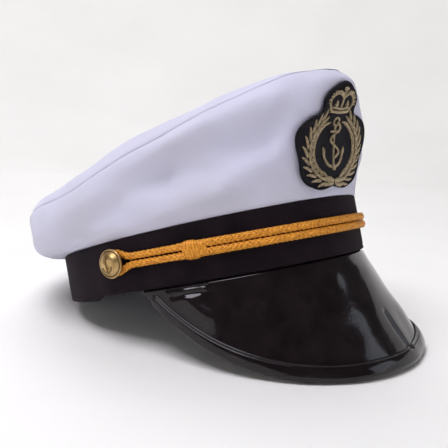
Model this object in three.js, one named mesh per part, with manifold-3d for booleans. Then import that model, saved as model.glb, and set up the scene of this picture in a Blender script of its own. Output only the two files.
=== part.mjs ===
// A yacht captain's cap: a white cloth crown on a black cloth band, a glossy
// black peak with a folded binding, a doubled gold cord with two slide knots
// between two brass buttons, and an embroidered badge on the front.
// Millimetres, +Z up, front towards -Y, standing on z = 0 as the cap rests by
// itself: on the rim of its peak and on the back of its band.

import * as THREE from "three";
import { mergeVertices } from "three/addons/utils/BufferGeometryUtils.js";
import Module from "manifold-3d";

// Driving dimensions

// head band, measured outside the cloth
const bandHalfWidth = 88.5;
const bandHalfLength = 96.2;
const bandFrontHeight = 32.8;
const bandBackHeight = 24.7;
const bandWall = 2.2;

// crown, measured outside the cloth
const crownHalfWidth = 97;
const crownFrontReach = 112;
const crownBackReach = 123;
const crownFrontRise = 67.5;
const crownSideRise = 30.2;
const crownBackRise = 27;
const crownWall = 1.8;
const crownHemDepth = 7;
const panelSideRise = 13;
const panelMiddleRise = 10.7;

// peak, bound with a folded strip
const peakLength = 67.6;
const peakEndAngle = 75;
const peakFrontDrop = 65.5;
const peakEndDrop = 86;
const peakWall = 2.0;
const peakRootDepth = 7;
const peakRootRoll = 1;
const bindingWidth = 8;
const bindingWall = 1.1;
const bindingSetBack = 3;

// rest: how far forward the back of the band is pressed flat by the surface
const flatBandDepth = 8;

// cord, knots and buttons
const strandDiameter = 4.3;
const cordHeight = 17;
const buttonAngle = 82.5;
const knotAngle = 54;
const knotLength = 13;
const knotHeight = 12.6;
const knotDepth = 7.6;
const buttonDiameter = 16;
const buttonRimHeight = 1.3;
const buttonDomeHeight = 3.2;
const buttonEdgeRounding = 0.45;
const shankDiameter = 3.2;

// badge
const badgeWidth = 60;
const badgeHeight = 57;
const badgeWall = 1.4;
const badgeAboveBand = 5.2;
const reliefHeight = 1.1;

// room between neighbouring pieces
const clearance = 0.3;
const badgeClearance = 0.7;
const bindingClearance = 0.4;

// fineness of the faceted cloth
const aroundSteps = 48;
const peakSteps = 32;

// Surface colours and finishes
const whiteCloth = new THREE.MeshStandardMaterial({ color: 0xe4e2ee, roughness: 0.85, metalness: 0 });
const blackCloth = new THREE.MeshStandardMaterial({ color: 0x0e0a10, roughness: 0.9, metalness: 0 });
const glossBlack = new THREE.MeshStandardMaterial({ color: 0x06070a, roughness: 0.12, metalness: 0 });
const goldBraid = new THREE.MeshStandardMaterial({ color: 0xd9962a, roughness: 0.55, metalness: 0.1 });
const brass = new THREE.MeshStandardMaterial({ color: 0xc9a04a, roughness: 0.3, metalness: 1 });
const darkFelt = new THREE.MeshStandardMaterial({ color: 0x14141c, roughness: 0.95, metalness: 0 });
const bullionThread = new THREE.MeshStandardMaterial({ color: 0xb9a878, roughness: 0.45, metalness: 0.5 });

const { degToRad, clamp, lerp, smoothstep } = THREE.MathUtils;
const point = (x, y, z) => new THREE.Vector3(x, y, z);

// Blend three values round the cap: at the front, the sides and the back
function roundTheCap(theta, front, side, back) {
  const c = Math.cos(theta);
  return side + ((front - back) / 2) * c + ((front + back) / 2 - side) * c * c;
}

// Angles run from the front towards the wearer's right side
function bandOutward(theta) {
  const normal = point(-Math.sin(theta) / bandHalfWidth, -Math.cos(theta) / bandHalfLength, 0);
  return normal.normalize();
}

function bandPoint(theta, outward, z) {
  const onBand = point(-bandHalfWidth * Math.sin(theta), -bandHalfLength * Math.cos(theta), z);
  return onBand.addScaledVector(bandOutward(theta), outward);
}

function bandTop(theta) {
  return lerp(bandFrontHeight, bandBackHeight, (1 - Math.cos(theta)) / 2);
}

// The band's lower edge sags a little behind the ends of the peak
const bandSag = [
  { angle: 92, drop: 0 },
  { angle: 98, drop: 0.08 },
  { angle: 118, drop: 0.05 },
  { angle: 138, drop: 0 },
];

function tableValue(rows, key, value, at) {
  if (at <= rows[0][key]) return rows[0][value];
  for (let i = 1; i < rows.length; i++) {
    if (at <= rows[i][key]) {
      const share = (at - rows[i - 1][key]) / (rows[i][key] - rows[i - 1][key]);
      return lerp(rows[i - 1][value], rows[i][value], smoothstep(share, 0, 1));
    }
  }
  return rows[rows.length - 1][value];
}

// Degrees from the front, the same on both sides
function capAngle(theta) {
  return THREE.MathUtils.radToDeg(Math.acos(clamp(Math.cos(theta), -1, 1)));
}

function bandBottom(theta) {
  return -tableValue(bandSag, "angle", "drop", capAngle(theta)) * bandFrontHeight;
}

// Bodies from rows of points

function bodyFromTriangles(corners, triangles, material, name) {
  const geometry = new THREE.BufferGeometry();
  geometry.setAttribute("position", new THREE.Float32BufferAttribute(corners.flatMap((p) => p.toArray()), 3));
  geometry.setIndex(triangles);
  return nameMesh(geometry, material, name);
}

function nameMesh(geometry, material, name) {
  geometry.computeVertexNormals();
  const mesh = new THREE.Mesh(geometry, material);
  mesh.name = name;
  return mesh;
}

// A closed body swept through closed profiles; its two ends meet, or are capped
function sweptBody(profiles, endsMeet, material, name) {
  const count = profiles[0].length;
  const corners = profiles.flat();
  const triangles = [];
  const last = endsMeet ? profiles.length : profiles.length - 1;
  for (let i = 0; i < last; i++) {
    const next = (i + 1) % profiles.length;
    for (let j = 0; j < count; j++) {
      const k = (j + 1) % count;
      const [a, b] = [i * count + j, i * count + k];
      const [c, d] = [next * count + j, next * count + k];
      triangles.push(a, b, c, b, d, c);
    }
  }
  if (!endsMeet) {
    capProfile(profiles, 0, triangles, false);
    capProfile(profiles, profiles.length - 1, triangles, true);
  }
  return bodyFromTriangles(corners, triangles, material, name);
}

// Profiles run out along one face and back along the other, so a cap is a ladder
function capProfile(profiles, index, triangles, atEnd) {
  const count = profiles[index].length;
  const base = index * count;
  for (let j = 0; j < count / 2 - 1; j++) {
    const [a, b] = [base + j, base + j + 1];
    const [c, d] = [base + count - 1 - j, base + count - 2 - j];
    if (atEnd) triangles.push(a, b, c, b, d, c);
    else triangles.push(a, c, b, b, c, d);
  }
}

// Points a wall's thickness inside a grid of rows; columns close round the cap or end
function innerRows(rows, wall, closed) {
  const columns = rows[0].length;
  return rows.map((row, i) =>
    row.map((p, j) => {
      const up = rows[Math.min(i + 1, rows.length - 1)][j].clone().sub(rows[Math.max(i - 1, 0)][j]);
      const ahead = closed ? row[(j + 1) % columns] : row[Math.min(j + 1, columns - 1)];
      const behind = closed ? row[(j - 1 + columns) % columns] : row[Math.max(j - 1, 0)];
      const along = ahead.clone().sub(behind);
      return p.clone().addScaledVector(along.cross(up).normalize(), wall);
    }),
  );
}

// Turn rows (each one a ring or a strip) into one profile for each column
function wallProfiles(outer, inner) {
  return outer[0].map((_, j) => {
    const out = outer.map((row) => row[j]);
    const back = inner.map((row) => row[j]).reverse();
    return [...out, ...back];
  });
}

const ringAngles = Array.from({ length: aroundSteps }, (_, i) => (i / aroundSteps) * 2 * Math.PI);

// Crown

// Each section is a curve from the band's top to the seam. Reach and rise of its two
// handles are shares of the crown's front rise, at the front, the side and the back.
const sectionHandles = [
  { part: "lowReach", front: 0.139, side: 0.25, back: 0.4 },
  { part: "lowRise", front: 0.54, side: 0.3, back: -0.2 },
  { part: "highReach", front: 0.212, side: 0.04, back: 0.14 },
  { part: "highDrop", front: 0.23, side: 0.2, back: 0.3 },
];

// Dents and ridges of the soft wall: where along the wall each starts and ends, as an
// angle and a share of the wall's height, its half width as a share of the height, and
// how far it goes in or out as a share of the crown's front rise.
const crownFolds = [
  { fromAngle: 30, fromUp: 0.44, toAngle: 58, toUp: 0.44, halfWidth: 0.2, out: -0.1 },
  { fromAngle: 62, fromUp: 0.52, toAngle: 102, toUp: 0.2, halfWidth: 0.22, out: -0.072 },
  { fromAngle: 26, fromUp: 0.28, toAngle: 42, toUp: 0.18, halfWidth: 0.1, out: 0.032 },
  { fromAngle: 46, fromUp: 0.15, toAngle: 60, toUp: 0.12, halfWidth: 0.12, out: 0.022 },
  { fromAngle: 30, fromUp: 0.82, toAngle: 58, toUp: 0.84, halfWidth: 0.14, out: 0.022 },
  { fromAngle: -5, fromUp: 0.43, toAngle: 5, toUp: 0.43, halfWidth: 0.27, out: -0.085 },
  { fromAngle: -12, fromUp: 0.87, toAngle: 12, toUp: 0.87, halfWidth: 0.14, out: 0.03 },
  { fromAngle: -34, fromUp: 0.74, toAngle: -62, toUp: 0.7, halfWidth: 0.2, out: -0.035 },
  { fromAngle: -66, fromUp: 0.66, toAngle: -112, toUp: 0.5, halfWidth: 0.22, out: -0.05 },
  { fromAngle: -28, fromUp: 0.44, toAngle: -56, toUp: 0.24, halfWidth: 0.14, out: 0.026 },
  { fromAngle: 128, fromUp: 0.7, toAngle: 168, toUp: 0.4, halfWidth: 0.2, out: -0.03 },
  { fromAngle: -134, fromUp: 0.42, toAngle: -172, toUp: 0.68, halfWidth: 0.2, out: -0.028 },
];

// One unit of wall height spans about this angle of the cap
const foldAspect = 38;

function foldOffset(theta, up) {
  let angle = THREE.MathUtils.radToDeg(theta);
  if (angle > 180) angle -= 360;
  let out = 0;
  for (const fold of crownFolds) {
    const runAngle = (fold.toAngle - fold.fromAngle) / foldAspect;
    const runUp = fold.toUp - fold.fromUp;
    const dAngle = (angle - fold.fromAngle) / foldAspect;
    const dUp = up - fold.fromUp;
    const share = clamp((dAngle * runAngle + dUp * runUp) / (runAngle ** 2 + runUp ** 2), 0, 1);
    const away = Math.hypot(dAngle - share * runAngle, dUp - share * runUp);
    out += fold.out * Math.exp(-((away / fold.halfWidth) ** 2));
  }
  const heldAtEnds = smoothstep(up, 0, 0.15) * smoothstep(1 - up, 0, 0.15);
  return out * heldAtEnds * crownFrontRise;
}

// The seam is an oval that narrows to a nose at the front
const noseTaper = { narrowing: 0.39, sharpness: 2.4 };

// It lifts towards the front corners and dips at the sides, by shares of the front rise
const seamWave = [
  { angle: 0, rise: 0 },
  { angle: 10, rise: 0.009 },
  { angle: 26, rise: 0.05 },
  { angle: 46, rise: 0.041 },
  { angle: 66, rise: 0.006 },
  { angle: 92, rise: -0.039 },
  { angle: 114, rise: 0 },
];

function seamPoint(theta) {
  const middle = (crownBackReach - crownFrontReach) / 2;
  const halfLength = (crownBackReach + crownFrontReach) / 2;
  const wave = tableValue(seamWave, "angle", "rise", capAngle(theta)) * crownFrontRise;
  const rise = roundTheCap(theta, crownFrontRise, crownSideRise, crownBackRise) + wave;
  const ahead = Math.max(Math.cos(theta), 0);
  const narrowed = 1 - noseTaper.narrowing * ahead ** noseTaper.sharpness;
  return point(
    -crownHalfWidth * Math.sin(theta) * narrowed,
    middle - halfLength * Math.cos(theta),
    bandFrontHeight + rise,
  );
}

function crownOutward(theta) {
  return point(-Math.sin(theta), -Math.cos(theta), 0);
}

function handle(part, theta) {
  const row = sectionHandles.find((r) => r.part === part);
  return roundTheCap(theta, row.front, row.side, row.back);
}

// A point of the crown's wall, from the band's top (up = 0) to the seam (up = 1)
function crownPoint(theta, up, outward = 0) {
  const foot = bandPoint(theta, 0, bandTop(theta) + clearance);
  const seam = seamPoint(theta);
  const height = seam.z - foot.z;
  const away = crownOutward(theta);
  const low = foot.clone().addScaledVector(away, handle("lowReach", theta) * crownFrontRise);
  low.z += handle("lowRise", theta) * height;
  const high = seam.clone().addScaledVector(away, handle("highReach", theta) * crownFrontRise);
  high.z -= handle("highDrop", theta) * height;
  const section = new THREE.CubicBezierCurve3(foot, low, high, seam);
  const p = section.getPoint(up);
  return p.addScaledVector(away, foldOffset(theta, up) + outward);
}

// The wall and the top panel meet edge to edge, so both end level at the seam
function seamEdge(ring) {
  return ring.map((p, j) => p.clone().addScaledVector(crownOutward(ringAngles[j]), -crownWall));
}

const crownShares = [0.01, 0.12, 0.26, 0.4, 0.54, 0.68, 0.8, 0.91, 1];

function makeCrownSide() {
  const hemInset = -(bandWall + clearance);
  const hem = (theta, z) => bandPoint(theta, hemInset, z);
  const outer = [
    ringAngles.map((t) => hem(t, bandTop(t) - crownHemDepth)),
    ringAngles.map((t) => hem(t, bandTop(t) + clearance)),
  ];
  for (const up of crownShares) outer.push(ringAngles.map((t) => crownPoint(t, up)));
  const inner = innerRows(outer, crownWall, true);
  inner[inner.length - 1] = seamEdge(outer[outer.length - 1]);
  return sweptBody(wallProfiles(outer, inner), true, whiteCloth, "crown_side");
}

// How high the top panel rises from the seam, by shares of its rise at the sides
const panelEdge = [
  { angle: 0, share: 0.38 },
  { angle: 25, share: 0.5 },
  { angle: 45, share: 0.85 },
  { angle: 70, share: 1.19 },
  { angle: 92, share: 0.96 },
  { angle: 180, share: 0.38 },
];

// It rises steeply from the seam and flattens towards its middle
const panelRings = [1, 0.985, 0.955, 0.9, 0.8, 0.58, 0.3];
const panelFullness = 9;

// The inner rings next to the seam stay above its level edge
const ringsOverEdge = 3;

function panelPoint(theta, share) {
  const seam = seamPoint(theta);
  const middle = (crownBackReach - crownFrontReach) / 2;
  const middleRise = (seamPoint(0).z + 2 * seamPoint(Math.PI / 2).z + seamPoint(Math.PI).z) / 4;
  const edgeRise = tableValue(panelEdge, "angle", "share", capAngle(theta)) * panelSideRise;
  const rise = lerp(panelMiddleRise, edgeRise, share);
  return point(
    seam.x * share,
    lerp(middle, seam.y, share),
    lerp(middleRise, seam.z, share) + rise * (1 - share ** panelFullness) + clearance,
  );
}

function makeCrownTop() {
  const rings = panelRings.map((share) => ringAngles.map((t) => panelPoint(t, share)));
  const inside = innerRows(rings, crownWall, true);
  inside[0] = seamEdge(rings[0]);
  for (const ring of inside.slice(1, ringsOverEdge + 1)) {
    for (const [j, p] of ring.entries()) p.z = Math.max(p.z, inside[0][j].z);
  }
  const corners = [...rings.flat(), ...inside.flat()];
  const outerPole = corners.push(panelPoint(0, 0)) - 1;
  const innerPole = corners.push(panelPoint(0, 0).add(point(0, 0, -crownWall))) - 1;
  const innerStart = rings.length * aroundSteps;
  const triangles = [];
  for (let j = 0; j < aroundSteps; j++) {
    const k = (j + 1) % aroundSteps;
    for (let i = 0; i < rings.length - 1; i++) {
      const [a, b] = [i * aroundSteps + j, i * aroundSteps + k];
      const [c, d] = [a + aroundSteps, b + aroundSteps];
      triangles.push(a, c, b, b, c, d);
      triangles.push(innerStart + a, innerStart + b, innerStart + c);
      triangles.push(innerStart + b, innerStart + d, innerStart + c);
    }
    const lastRing = (rings.length - 1) * aroundSteps;
    triangles.push(lastRing + j, outerPole, lastRing + k);
    triangles.push(innerStart + lastRing + j, innerStart + lastRing + k, innerPole);
    triangles.push(j, k, innerStart + j, k, innerStart + k, innerStart + j);
  }
  return bodyFromTriangles(corners, triangles, whiteCloth, "crown_top");
}

// Band

const bandShares = [0, 0.3, 0.65, 1];

function makeBand() {
  const rows = (outward) =>
    bandShares.map((up) =>
      ringAngles.map((t) => bandPoint(t, outward, lerp(bandBottom(t), bandTop(t), up))),
    );
  return sweptBody(wallProfiles(rows(0), rows(-bandWall)), true, blackCloth, "hat_band");
}

// Peak

const peakOutline = 2.2;
const bindingEndShare = 0.95;

// How far the peak stands out and how steeply it hangs, across from end to end (-1 to 1)
function peakReach(across) {
  return peakLength * (1 - Math.abs(across) ** peakOutline);
}

function peakDrop(across) {
  return degToRad(lerp(peakFrontDrop, peakEndDrop, across * across));
}

// A point of the peak's upper face at a distance from the band's lower edge
function peakPoint(across, distance) {
  const theta = degToRad(peakEndAngle) * across;
  const drop = peakDrop(across);
  const out = bandOutward(theta);
  const root = bandPoint(theta, -bandWall / 2, -clearance);
  return root.addScaledVector(out, distance * Math.cos(drop)).add(point(0, 0, -distance * Math.sin(drop)));
}

// The peak's length from its root to its rim, at least a short edge at its two ends
function rimDistance(across) {
  return peakRootRoll + Math.max(peakReach(across), peakRootRoll);
}

function peakNormal(across, distance) {
  const outStep = 0.5;
  const acrossStep = 0.01;
  const along = peakPoint(across, distance + outStep).sub(peakPoint(across, distance));
  const over = peakPoint(across + acrossStep, distance).sub(peakPoint(across - acrossStep, distance));
  return over.cross(along).normalize();
}

const peakShares = [0.05, 0.2, 0.4, 0.6, 0.8, 1];

function peakAcross(steps, end) {
  return Array.from({ length: steps + 1 }, (_, i) => lerp(-end, end, i / steps));
}

function makePeak() {
  const columns = peakAcross(peakSteps, 1);
  const rootInset = -(bandWall + clearance);
  const outer = [
    columns.map((u) => bandPoint(degToRad(peakEndAngle) * u, rootInset, peakRootDepth)),
    columns.map((u) => bandPoint(degToRad(peakEndAngle) * u, rootInset, -clearance)),
  ];
  for (const share of peakShares) {
    outer.push(columns.map((u) => peakPoint(u, lerp(peakRootRoll, rimDistance(u), share))));
  }
  const inner = innerRows(outer, -peakWall, false);
  return sweptBody(wallProfiles(inner, outer), false, glossBlack, "peak");
}

// The binding is folded round the rim: its profile, out over the rim and back under it
function bindingProfile(across) {
  const reach = rimDistance(across);
  const cover = Math.min(bindingWidth, reach - bindingSetBack);
  const at = (distance, above) =>
    peakPoint(across, distance).addScaledVector(peakNormal(across, Math.min(distance, reach)), above);
  const top = bindingClearance + bindingWall;
  const under = -(peakWall + bindingClearance + bindingWall);
  const lip = reach + bindingClearance + bindingWall;
  const half = (top + under) / 2;
  return [
    at(reach - cover, top),
    at(lip - bindingWall / 2, top),
    at(lip, lerp(half, top, 0.5)),
    at(lip, lerp(half, under, 0.5)),
    at(lip - bindingWall / 2, under),
    at(reach - cover, under),
    at(reach - cover, -(peakWall + bindingClearance)),
    at(reach, -(peakWall + bindingClearance)),
    at(reach + bindingClearance, -(peakWall + bindingClearance) / 2 - bindingClearance / 2),
    at(reach + bindingClearance, -peakWall / 2 + bindingClearance / 2),
    at(reach, bindingClearance),
    at(reach - cover, bindingClearance),
  ];
}

function makeBinding() {
  const profiles = peakAcross(peakSteps + 2, bindingEndShare).map((u) => bindingProfile(u).reverse());
  return sweptBody(profiles, false, glossBlack, "peak_binding");
}

// Cord, knots and buttons

const strandRadius = strandDiameter / 2;
const strandSpread = strandRadius + clearance / 2;
const shankRadius = shankDiameter / 2;

// The cord rises over this many degrees to pass through the middle of a knot
const knotRise = knotDepth / 2 - strandRadius;
const knotApproach = 12;

// How the doubled cord opens round a button's shank: ahead of the shank and to the side,
// as shares of the loop's own radius
const loopRadius = buttonDiameter / 2 - strandRadius - 2 * clearance;
const buttonLoop = [
  { ahead: 2.8, side: 0.45 },
  { ahead: 1.8, side: 0.48 },
  { ahead: 1.05, side: 0.74 },
  { ahead: 0.4, side: 0.98 },
  { ahead: -0.3, side: 0.98 },
  { ahead: -0.8, side: 0.66 },
];

const bandRadius = (bandHalfWidth + bandHalfLength) / 2;

// The cord stands off the band by its own radius, and a little more inside a knot
function cordStandOff(angle) {
  const nearKnot = smoothstep(1 - Math.abs(Math.abs(angle) - knotAngle) / knotApproach, 0, 1);
  return strandRadius + clearance + knotRise * nearKnot;
}

function cordPoint(angle, side) {
  return bandPoint(degToRad(angle), cordStandOff(angle), cordHeight + side);
}

// One length of cord: it starts behind the left shank, crosses the front above, turns
// round the right shank and comes back below, and its ends meet behind the left shank
function cordRoute() {
  const turn = (mm) => THREE.MathUtils.radToDeg(mm / bandRadius);
  const outward = buttonLoop.map((row) => ({
    angle: buttonAngle - turn(row.ahead * loopRadius),
    side: row.side * loopRadius,
  }));
  const crossing = [];
  const firstLoop = outward[0].angle;
  const stretches = 14;
  for (let i = 1; i < stretches; i++) {
    crossing.push({ angle: lerp(-firstLoop, firstLoop, i / stretches), side: strandSpread });
  }
  const leftLoop = outward.map((p) => ({ angle: -p.angle, side: p.side })).reverse();
  const above = [...leftLoop, ...crossing, ...outward];
  const behind = { angle: buttonAngle + turn(loopRadius), side: 0 };
  const startBehind = { angle: -behind.angle, side: clearance };
  const below = above.map((p) => ({ angle: p.angle, side: -p.side })).reverse();
  const endBehind = { angle: -behind.angle, side: -clearance };
  const route = [startBehind, ...above, behind, ...below, endBehind];
  return new THREE.CatmullRomCurve3(route.map((p) => cordPoint(p.angle, p.side)));
}

function circleShape(radius, sides) {
  const corners = Array.from({ length: sides }, (_, i) => {
    const turn = (i / sides) * 2 * Math.PI;
    return new THREE.Vector2(radius * Math.cos(turn), radius * Math.sin(turn));
  });
  return new THREE.Shape(corners);
}

function tubeAlong(curve, radius, steps, sides) {
  return new THREE.ExtrudeGeometry(circleShape(radius, sides), { steps, extrudePath: curve });
}

const cordSteps = 80;
const cordSides = 8;

function makeCord() {
  return nameMesh(tubeAlong(cordRoute(), strandRadius, cordSteps, cordSides), goldBraid, "cord");
}

// Stand a geometry made along +Z on the band, facing outwards
function placeOnBand(geometry, angle, outward, z) {
  const theta = degToRad(angle);
  const out = bandOutward(theta);
  const basis = new THREE.Matrix4().makeBasis(point(0, 0, 1).cross(out), point(0, 0, 1), out);
  basis.setPosition(bandPoint(theta, outward, z));
  return geometry.applyMatrix4(basis);
}

const buttonSides = 18;

// The dome's section above its foot, in shares of the button's radius and the dome's height
const buttonDome = [
  { out: 0.86, up: 0 },
  { out: 0.62, up: 0.62 },
  { out: 0.32, up: 0.92 },
  { out: 0, up: 1 },
];
const domeFootShare = 0.8;

function makeButton(angle, name) {
  const rimRadius = buttonDiameter / 2;
  const underside = strandDiameter + 3 * clearance;
  const rimTop = underside + buttonRimHeight;
  const domeFoot = underside + buttonRimHeight * domeFootShare;
  const top = rimTop + buttonDomeHeight;
  const profile = [
    [0, clearance],
    [shankRadius, clearance],
    [shankRadius, underside],
    [rimRadius - buttonEdgeRounding, underside],
    [rimRadius, underside + buttonRimHeight / 2],
    [rimRadius - buttonEdgeRounding, rimTop],
    ...buttonDome.map((row) => [rimRadius * row.out, lerp(domeFoot, top, row.up)]),
  ];
  const lathe = new THREE.LatheGeometry(profile.map(([x, y]) => new THREE.Vector2(x, y)), buttonSides);
  lathe.rotateX(Math.PI / 2);
  return nameMesh(placeOnBand(lathe, angle, 0, cordHeight), brass, name);
}

const wasm = await Module();
wasm.setup();

function toSolid(geometry) {
  const bare = geometry.clone();
  bare.deleteAttribute("normal");
  bare.deleteAttribute("uv");
  const merged = mergeVertices(bare, 1e-4);
  const vertProperties = new Float32Array(merged.attributes.position.array);
  const triVerts = new Uint32Array(merged.index.array);
  return new wasm.Manifold(new wasm.Mesh({ numProp: 3, vertProperties, triVerts }));
}

function fromSolid(solid) {
  const mesh = solid.getMesh();
  const geometry = new THREE.BufferGeometry();
  geometry.setAttribute("position", new THREE.BufferAttribute(mesh.vertProperties, 3));
  geometry.setIndex(new THREE.BufferAttribute(mesh.triVerts, 1));
  return geometry;
}

// A barrel round both strands, with a channel cut for them
const knotProfile = [
  { along: -0.5, wide: 0 },
  { along: -0.5, wide: 0.79 },
  { along: -0.3, wide: 0.93 },
  { along: 0, wide: 1 },
  { along: 0.3, wide: 0.93 },
  { along: 0.5, wide: 0.79 },
  { along: 0.5, wide: 0 },
];

function makeKnot(angle, name) {
  const profile = knotProfile.map((r) => new THREE.Vector2((r.wide * knotHeight) / 2, r.along * knotLength));
  const barrel = new THREE.LatheGeometry(profile, 12);
  barrel.rotateZ(Math.PI / 2);
  barrel.scale(1, 1, knotDepth / knotHeight);
  placeOnBand(barrel, angle, cordStandOff(angle), cordHeight);
  const channel = tubeAlong(cordRoute(), strandRadius + clearance, cordSteps, cordSides);
  const knot = toSolid(barrel).subtract(toSolid(channel));
  return nameMesh(fromSolid(knot), goldBraid, name);
}

// Badge

// Half of the patch's outline, from its foot to its top, in shares of its width and height
const badgeOutline = [
  { up: 0.02, half: 0 },
  { up: 0.005, half: 0.36 },
  { up: 0.04, half: 0.62 },
  { up: 0.107, half: 0.78 },
  { up: 0.18, half: 0.86 },
  { up: 0.32, half: 0.93 },
  { up: 0.45, half: 1 },
  { up: 0.55, half: 0.99 },
  { up: 0.62, half: 0.88 },
  { up: 0.68, half: 0.68 },
  { up: 0.72, half: 0.5 },
  { up: 0.78, half: 0.45 },
  { up: 0.86, half: 0.46 },
  { up: 0.94, half: 0.34 },
  { up: 1, half: 0 },
];

// Lengths along the front of the wall, up its middle and round it at each share of its height
function lengthsAlong(pointAt, steps) {
  const lengths = [0];
  for (let i = 1; i <= steps; i++) lengths.push(lengths[i - 1] + pointAt(i).distanceTo(pointAt(i - 1)));
  return lengths;
}

function placeAtLength(lengths, length) {
  const after = clamp(lengths.findIndex((l) => l >= length), 1, lengths.length - 1);
  return after - 1 + (length - lengths[after - 1]) / (lengths[after] - lengths[after - 1]);
}

const measureSteps = 24;
const frontWidest = degToRad(40);
const lengthsUpFront = lengthsAlong((i) => crownPoint(0, i / measureSteps), measureSteps);
const lengthsRoundFront = Array.from({ length: measureSteps + 1 }, (_, row) =>
  lengthsAlong((i) => crownPoint((i / measureSteps) * frontWidest, row / measureSteps), measureSteps),
);

// A point of the front, by its lengths across from the middle and up from the band
function frontPoint(across, up, outward) {
  const row = placeAtLength(lengthsUpFront, up);
  const [low, high] = [Math.floor(row), Math.ceil(row)].map((i) => clamp(i, 0, measureSteps));
  const turns = [low, high].map((i) => placeAtLength(lengthsRoundFront[i], Math.abs(across)));
  const turn = lerp(turns[0], turns[1], row - low) / measureSteps;
  const theta = -Math.sign(across) * turn * frontWidest;
  const share = row / measureSteps;
  const p = crownPoint(theta, share);
  const round = crownPoint(theta + 0.02, share).sub(crownPoint(theta - 0.02, share));
  const rising = crownPoint(theta, share + 0.02).sub(crownPoint(theta, share - 0.02));
  return p.addScaledVector(rising.cross(round).normalize(), outward);
}

function onBadge(across, up, outward) {
  return frontPoint(across, badgeAboveBand + up, badgeClearance + outward);
}

const badgeRings = [1, 0.75, 0.5, 0.25];
const badgeSteps = 36;

function makePatch() {
  const right = badgeOutline.map((r) => point((r.half * badgeWidth) / 2, r.up * badgeHeight, 0));
  const left = right.slice(1, -1).reverse().map((p) => point(-p.x, p.y, 0));
  const outline = new THREE.CatmullRomCurve3([...right, ...left], true).getSpacedPoints(badgeSteps);
  const middleUp = 0.42 * badgeHeight;
  const corners = [];
  for (const outward of [badgeWall, 0]) {
    for (const share of badgeRings) {
      for (let j = 0; j < badgeSteps; j++) {
        corners.push(onBadge(outline[j].x * share, lerp(middleUp, outline[j].y, share), outward));
      }
    }
  }
  const frontPole = corners.push(onBadge(0, middleUp, badgeWall)) - 1;
  const backPole = corners.push(onBadge(0, middleUp, 0)) - 1;
  const back = badgeRings.length * badgeSteps;
  const triangles = [];
  for (let j = 0; j < badgeSteps; j++) {
    const k = (j + 1) % badgeSteps;
    for (let i = 0; i < badgeRings.length - 1; i++) {
      const [a, b] = [i * badgeSteps + j, i * badgeSteps + k];
      const [c, d] = [a + badgeSteps, b + badgeSteps];
      triangles.push(a, b, c, b, d, c);
      triangles.push(back + a, back + c, back + b, back + b, back + c, back + d);
    }
    const last = (badgeRings.length - 1) * badgeSteps;
    triangles.push(last + j, last + k, frontPole);
    triangles.push(back + last + j, backPole, back + last + k);
    triangles.push(j, back + j, k, k, back + j, back + k);
  }
  return bodyFromTriangles(corners, triangles, darkFelt, "badge_patch");
}

// Relief is made flat, x across, y up and z outwards, joined, and then laid on the patch
function layOnBadge(shapes, material, name) {
  let joined = toSolid(shapes[0]);
  for (const shape of shapes.slice(1)) joined = joined.add(toSolid(shape));
  const geometry = fromSolid(joined);
  const spots = geometry.attributes.position;
  for (let i = 0; i < spots.count; i++) {
    const p = onBadge(spots.getX(i), spots.getY(i), badgeWall + clearance + spots.getZ(i));
    spots.setXYZ(i, p.x, p.y, p.z);
  }
  return nameMesh(geometry, material, name);
}

// A flattened grain standing on the patch, pointing along a turn from straight up
function grain(x, y, length, width, turn) {
  const shape = new THREE.OctahedronGeometry(0.5);
  shape.scale(width, length, reliefHeight);
  shape.rotateZ(-turn);
  return shape.translate(x, y, reliefHeight / 2);
}

function flatTube(points, width) {
  const curve = new THREE.CatmullRomCurve3(points.map(([x, y]) => point(x, y, 0)));
  const tube = tubeAlong(curve, width / 2, Math.ceil(points.length * 1.4), 5);
  return tube.scale(1, 1, reliefHeight / width).translate(0, 0, reliefHeight / 2);
}

const wreathLeaves = 6;
const leafLength = 8.2;
const leafWidth = 3;
const leafLean = 30;
const stemWidth = 1.5;
const stemSteps = 7;

// Each branch of the wreath runs up an arc from the badge's foot: turns in degrees from
// straight up, lengths in shares of the badge's width and height
const wreathArc = { footTurn: 172, tipTurn: 28, reach: 0.36, squash: 0.87, middleUp: 0.375 };
const wreathTieShare = 0.22;

function wreathPoint(side, share) {
  const turn = degToRad(lerp(wreathArc.footTurn, wreathArc.tipTurn, share));
  const radius = wreathArc.reach * badgeWidth;
  const up = wreathArc.middleUp * badgeHeight + wreathArc.squash * radius * Math.cos(turn);
  return [side * radius * Math.sin(turn), up];
}

// A pair of leaves leans out to both sides of the stem
function leafPair(side, share) {
  const [x, y] = wreathPoint(side, share);
  const [nextX, nextY] = wreathPoint(side, share + 0.02);
  const heading = Math.atan2(nextX - x, nextY - y);
  const reach = 0.36 * leafLength;
  return [-leafLean, leafLean].map((lean) => {
    const turn = heading + degToRad(lean);
    return grain(x + reach * Math.sin(turn), y + reach * Math.cos(turn), leafLength, leafWidth, turn);
  });
}

function makeWreath() {
  const shapes = [];
  for (const side of [1, -1]) {
    const stem = Array.from({ length: stemSteps + 1 }, (_, i) => wreathPoint(side, i / stemSteps));
    shapes.push(flatTube(stem, stemWidth));
    for (let i = 0; i < wreathLeaves; i++) {
      shapes.push(...leafPair(side, lerp(0.1, 0.92, i / (wreathLeaves - 1))));
    }
  }
  const foot = wreathArc.middleUp * badgeHeight - wreathArc.squash * wreathArc.reach * badgeWidth;
  shapes.push(grain(0, foot, leafWidth, wreathTieShare * badgeWidth, 0));
  return layOnBadge(shapes, bullionThread, "badge_wreath");
}

const anchorHeight = 27;
const anchorWidth = 18;
const anchorFootUp = 9.4;
const anchorThread = 1.7;
const ringThread = 1.2;
const ropeThread = 1.35;
const flukeLength = 4.2;
const flukeWidth = 2.6;
const anchorBaseWidth = 4.6;

// One arm of the anchor, from the middle of its foot, in shares of half its width
const anchorArm = [
  { across: 0, up: 0 },
  { across: 0.5, up: 0.16 },
  { across: 0.86, up: 0.56 },
  { across: 1, up: 1 },
];

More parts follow.
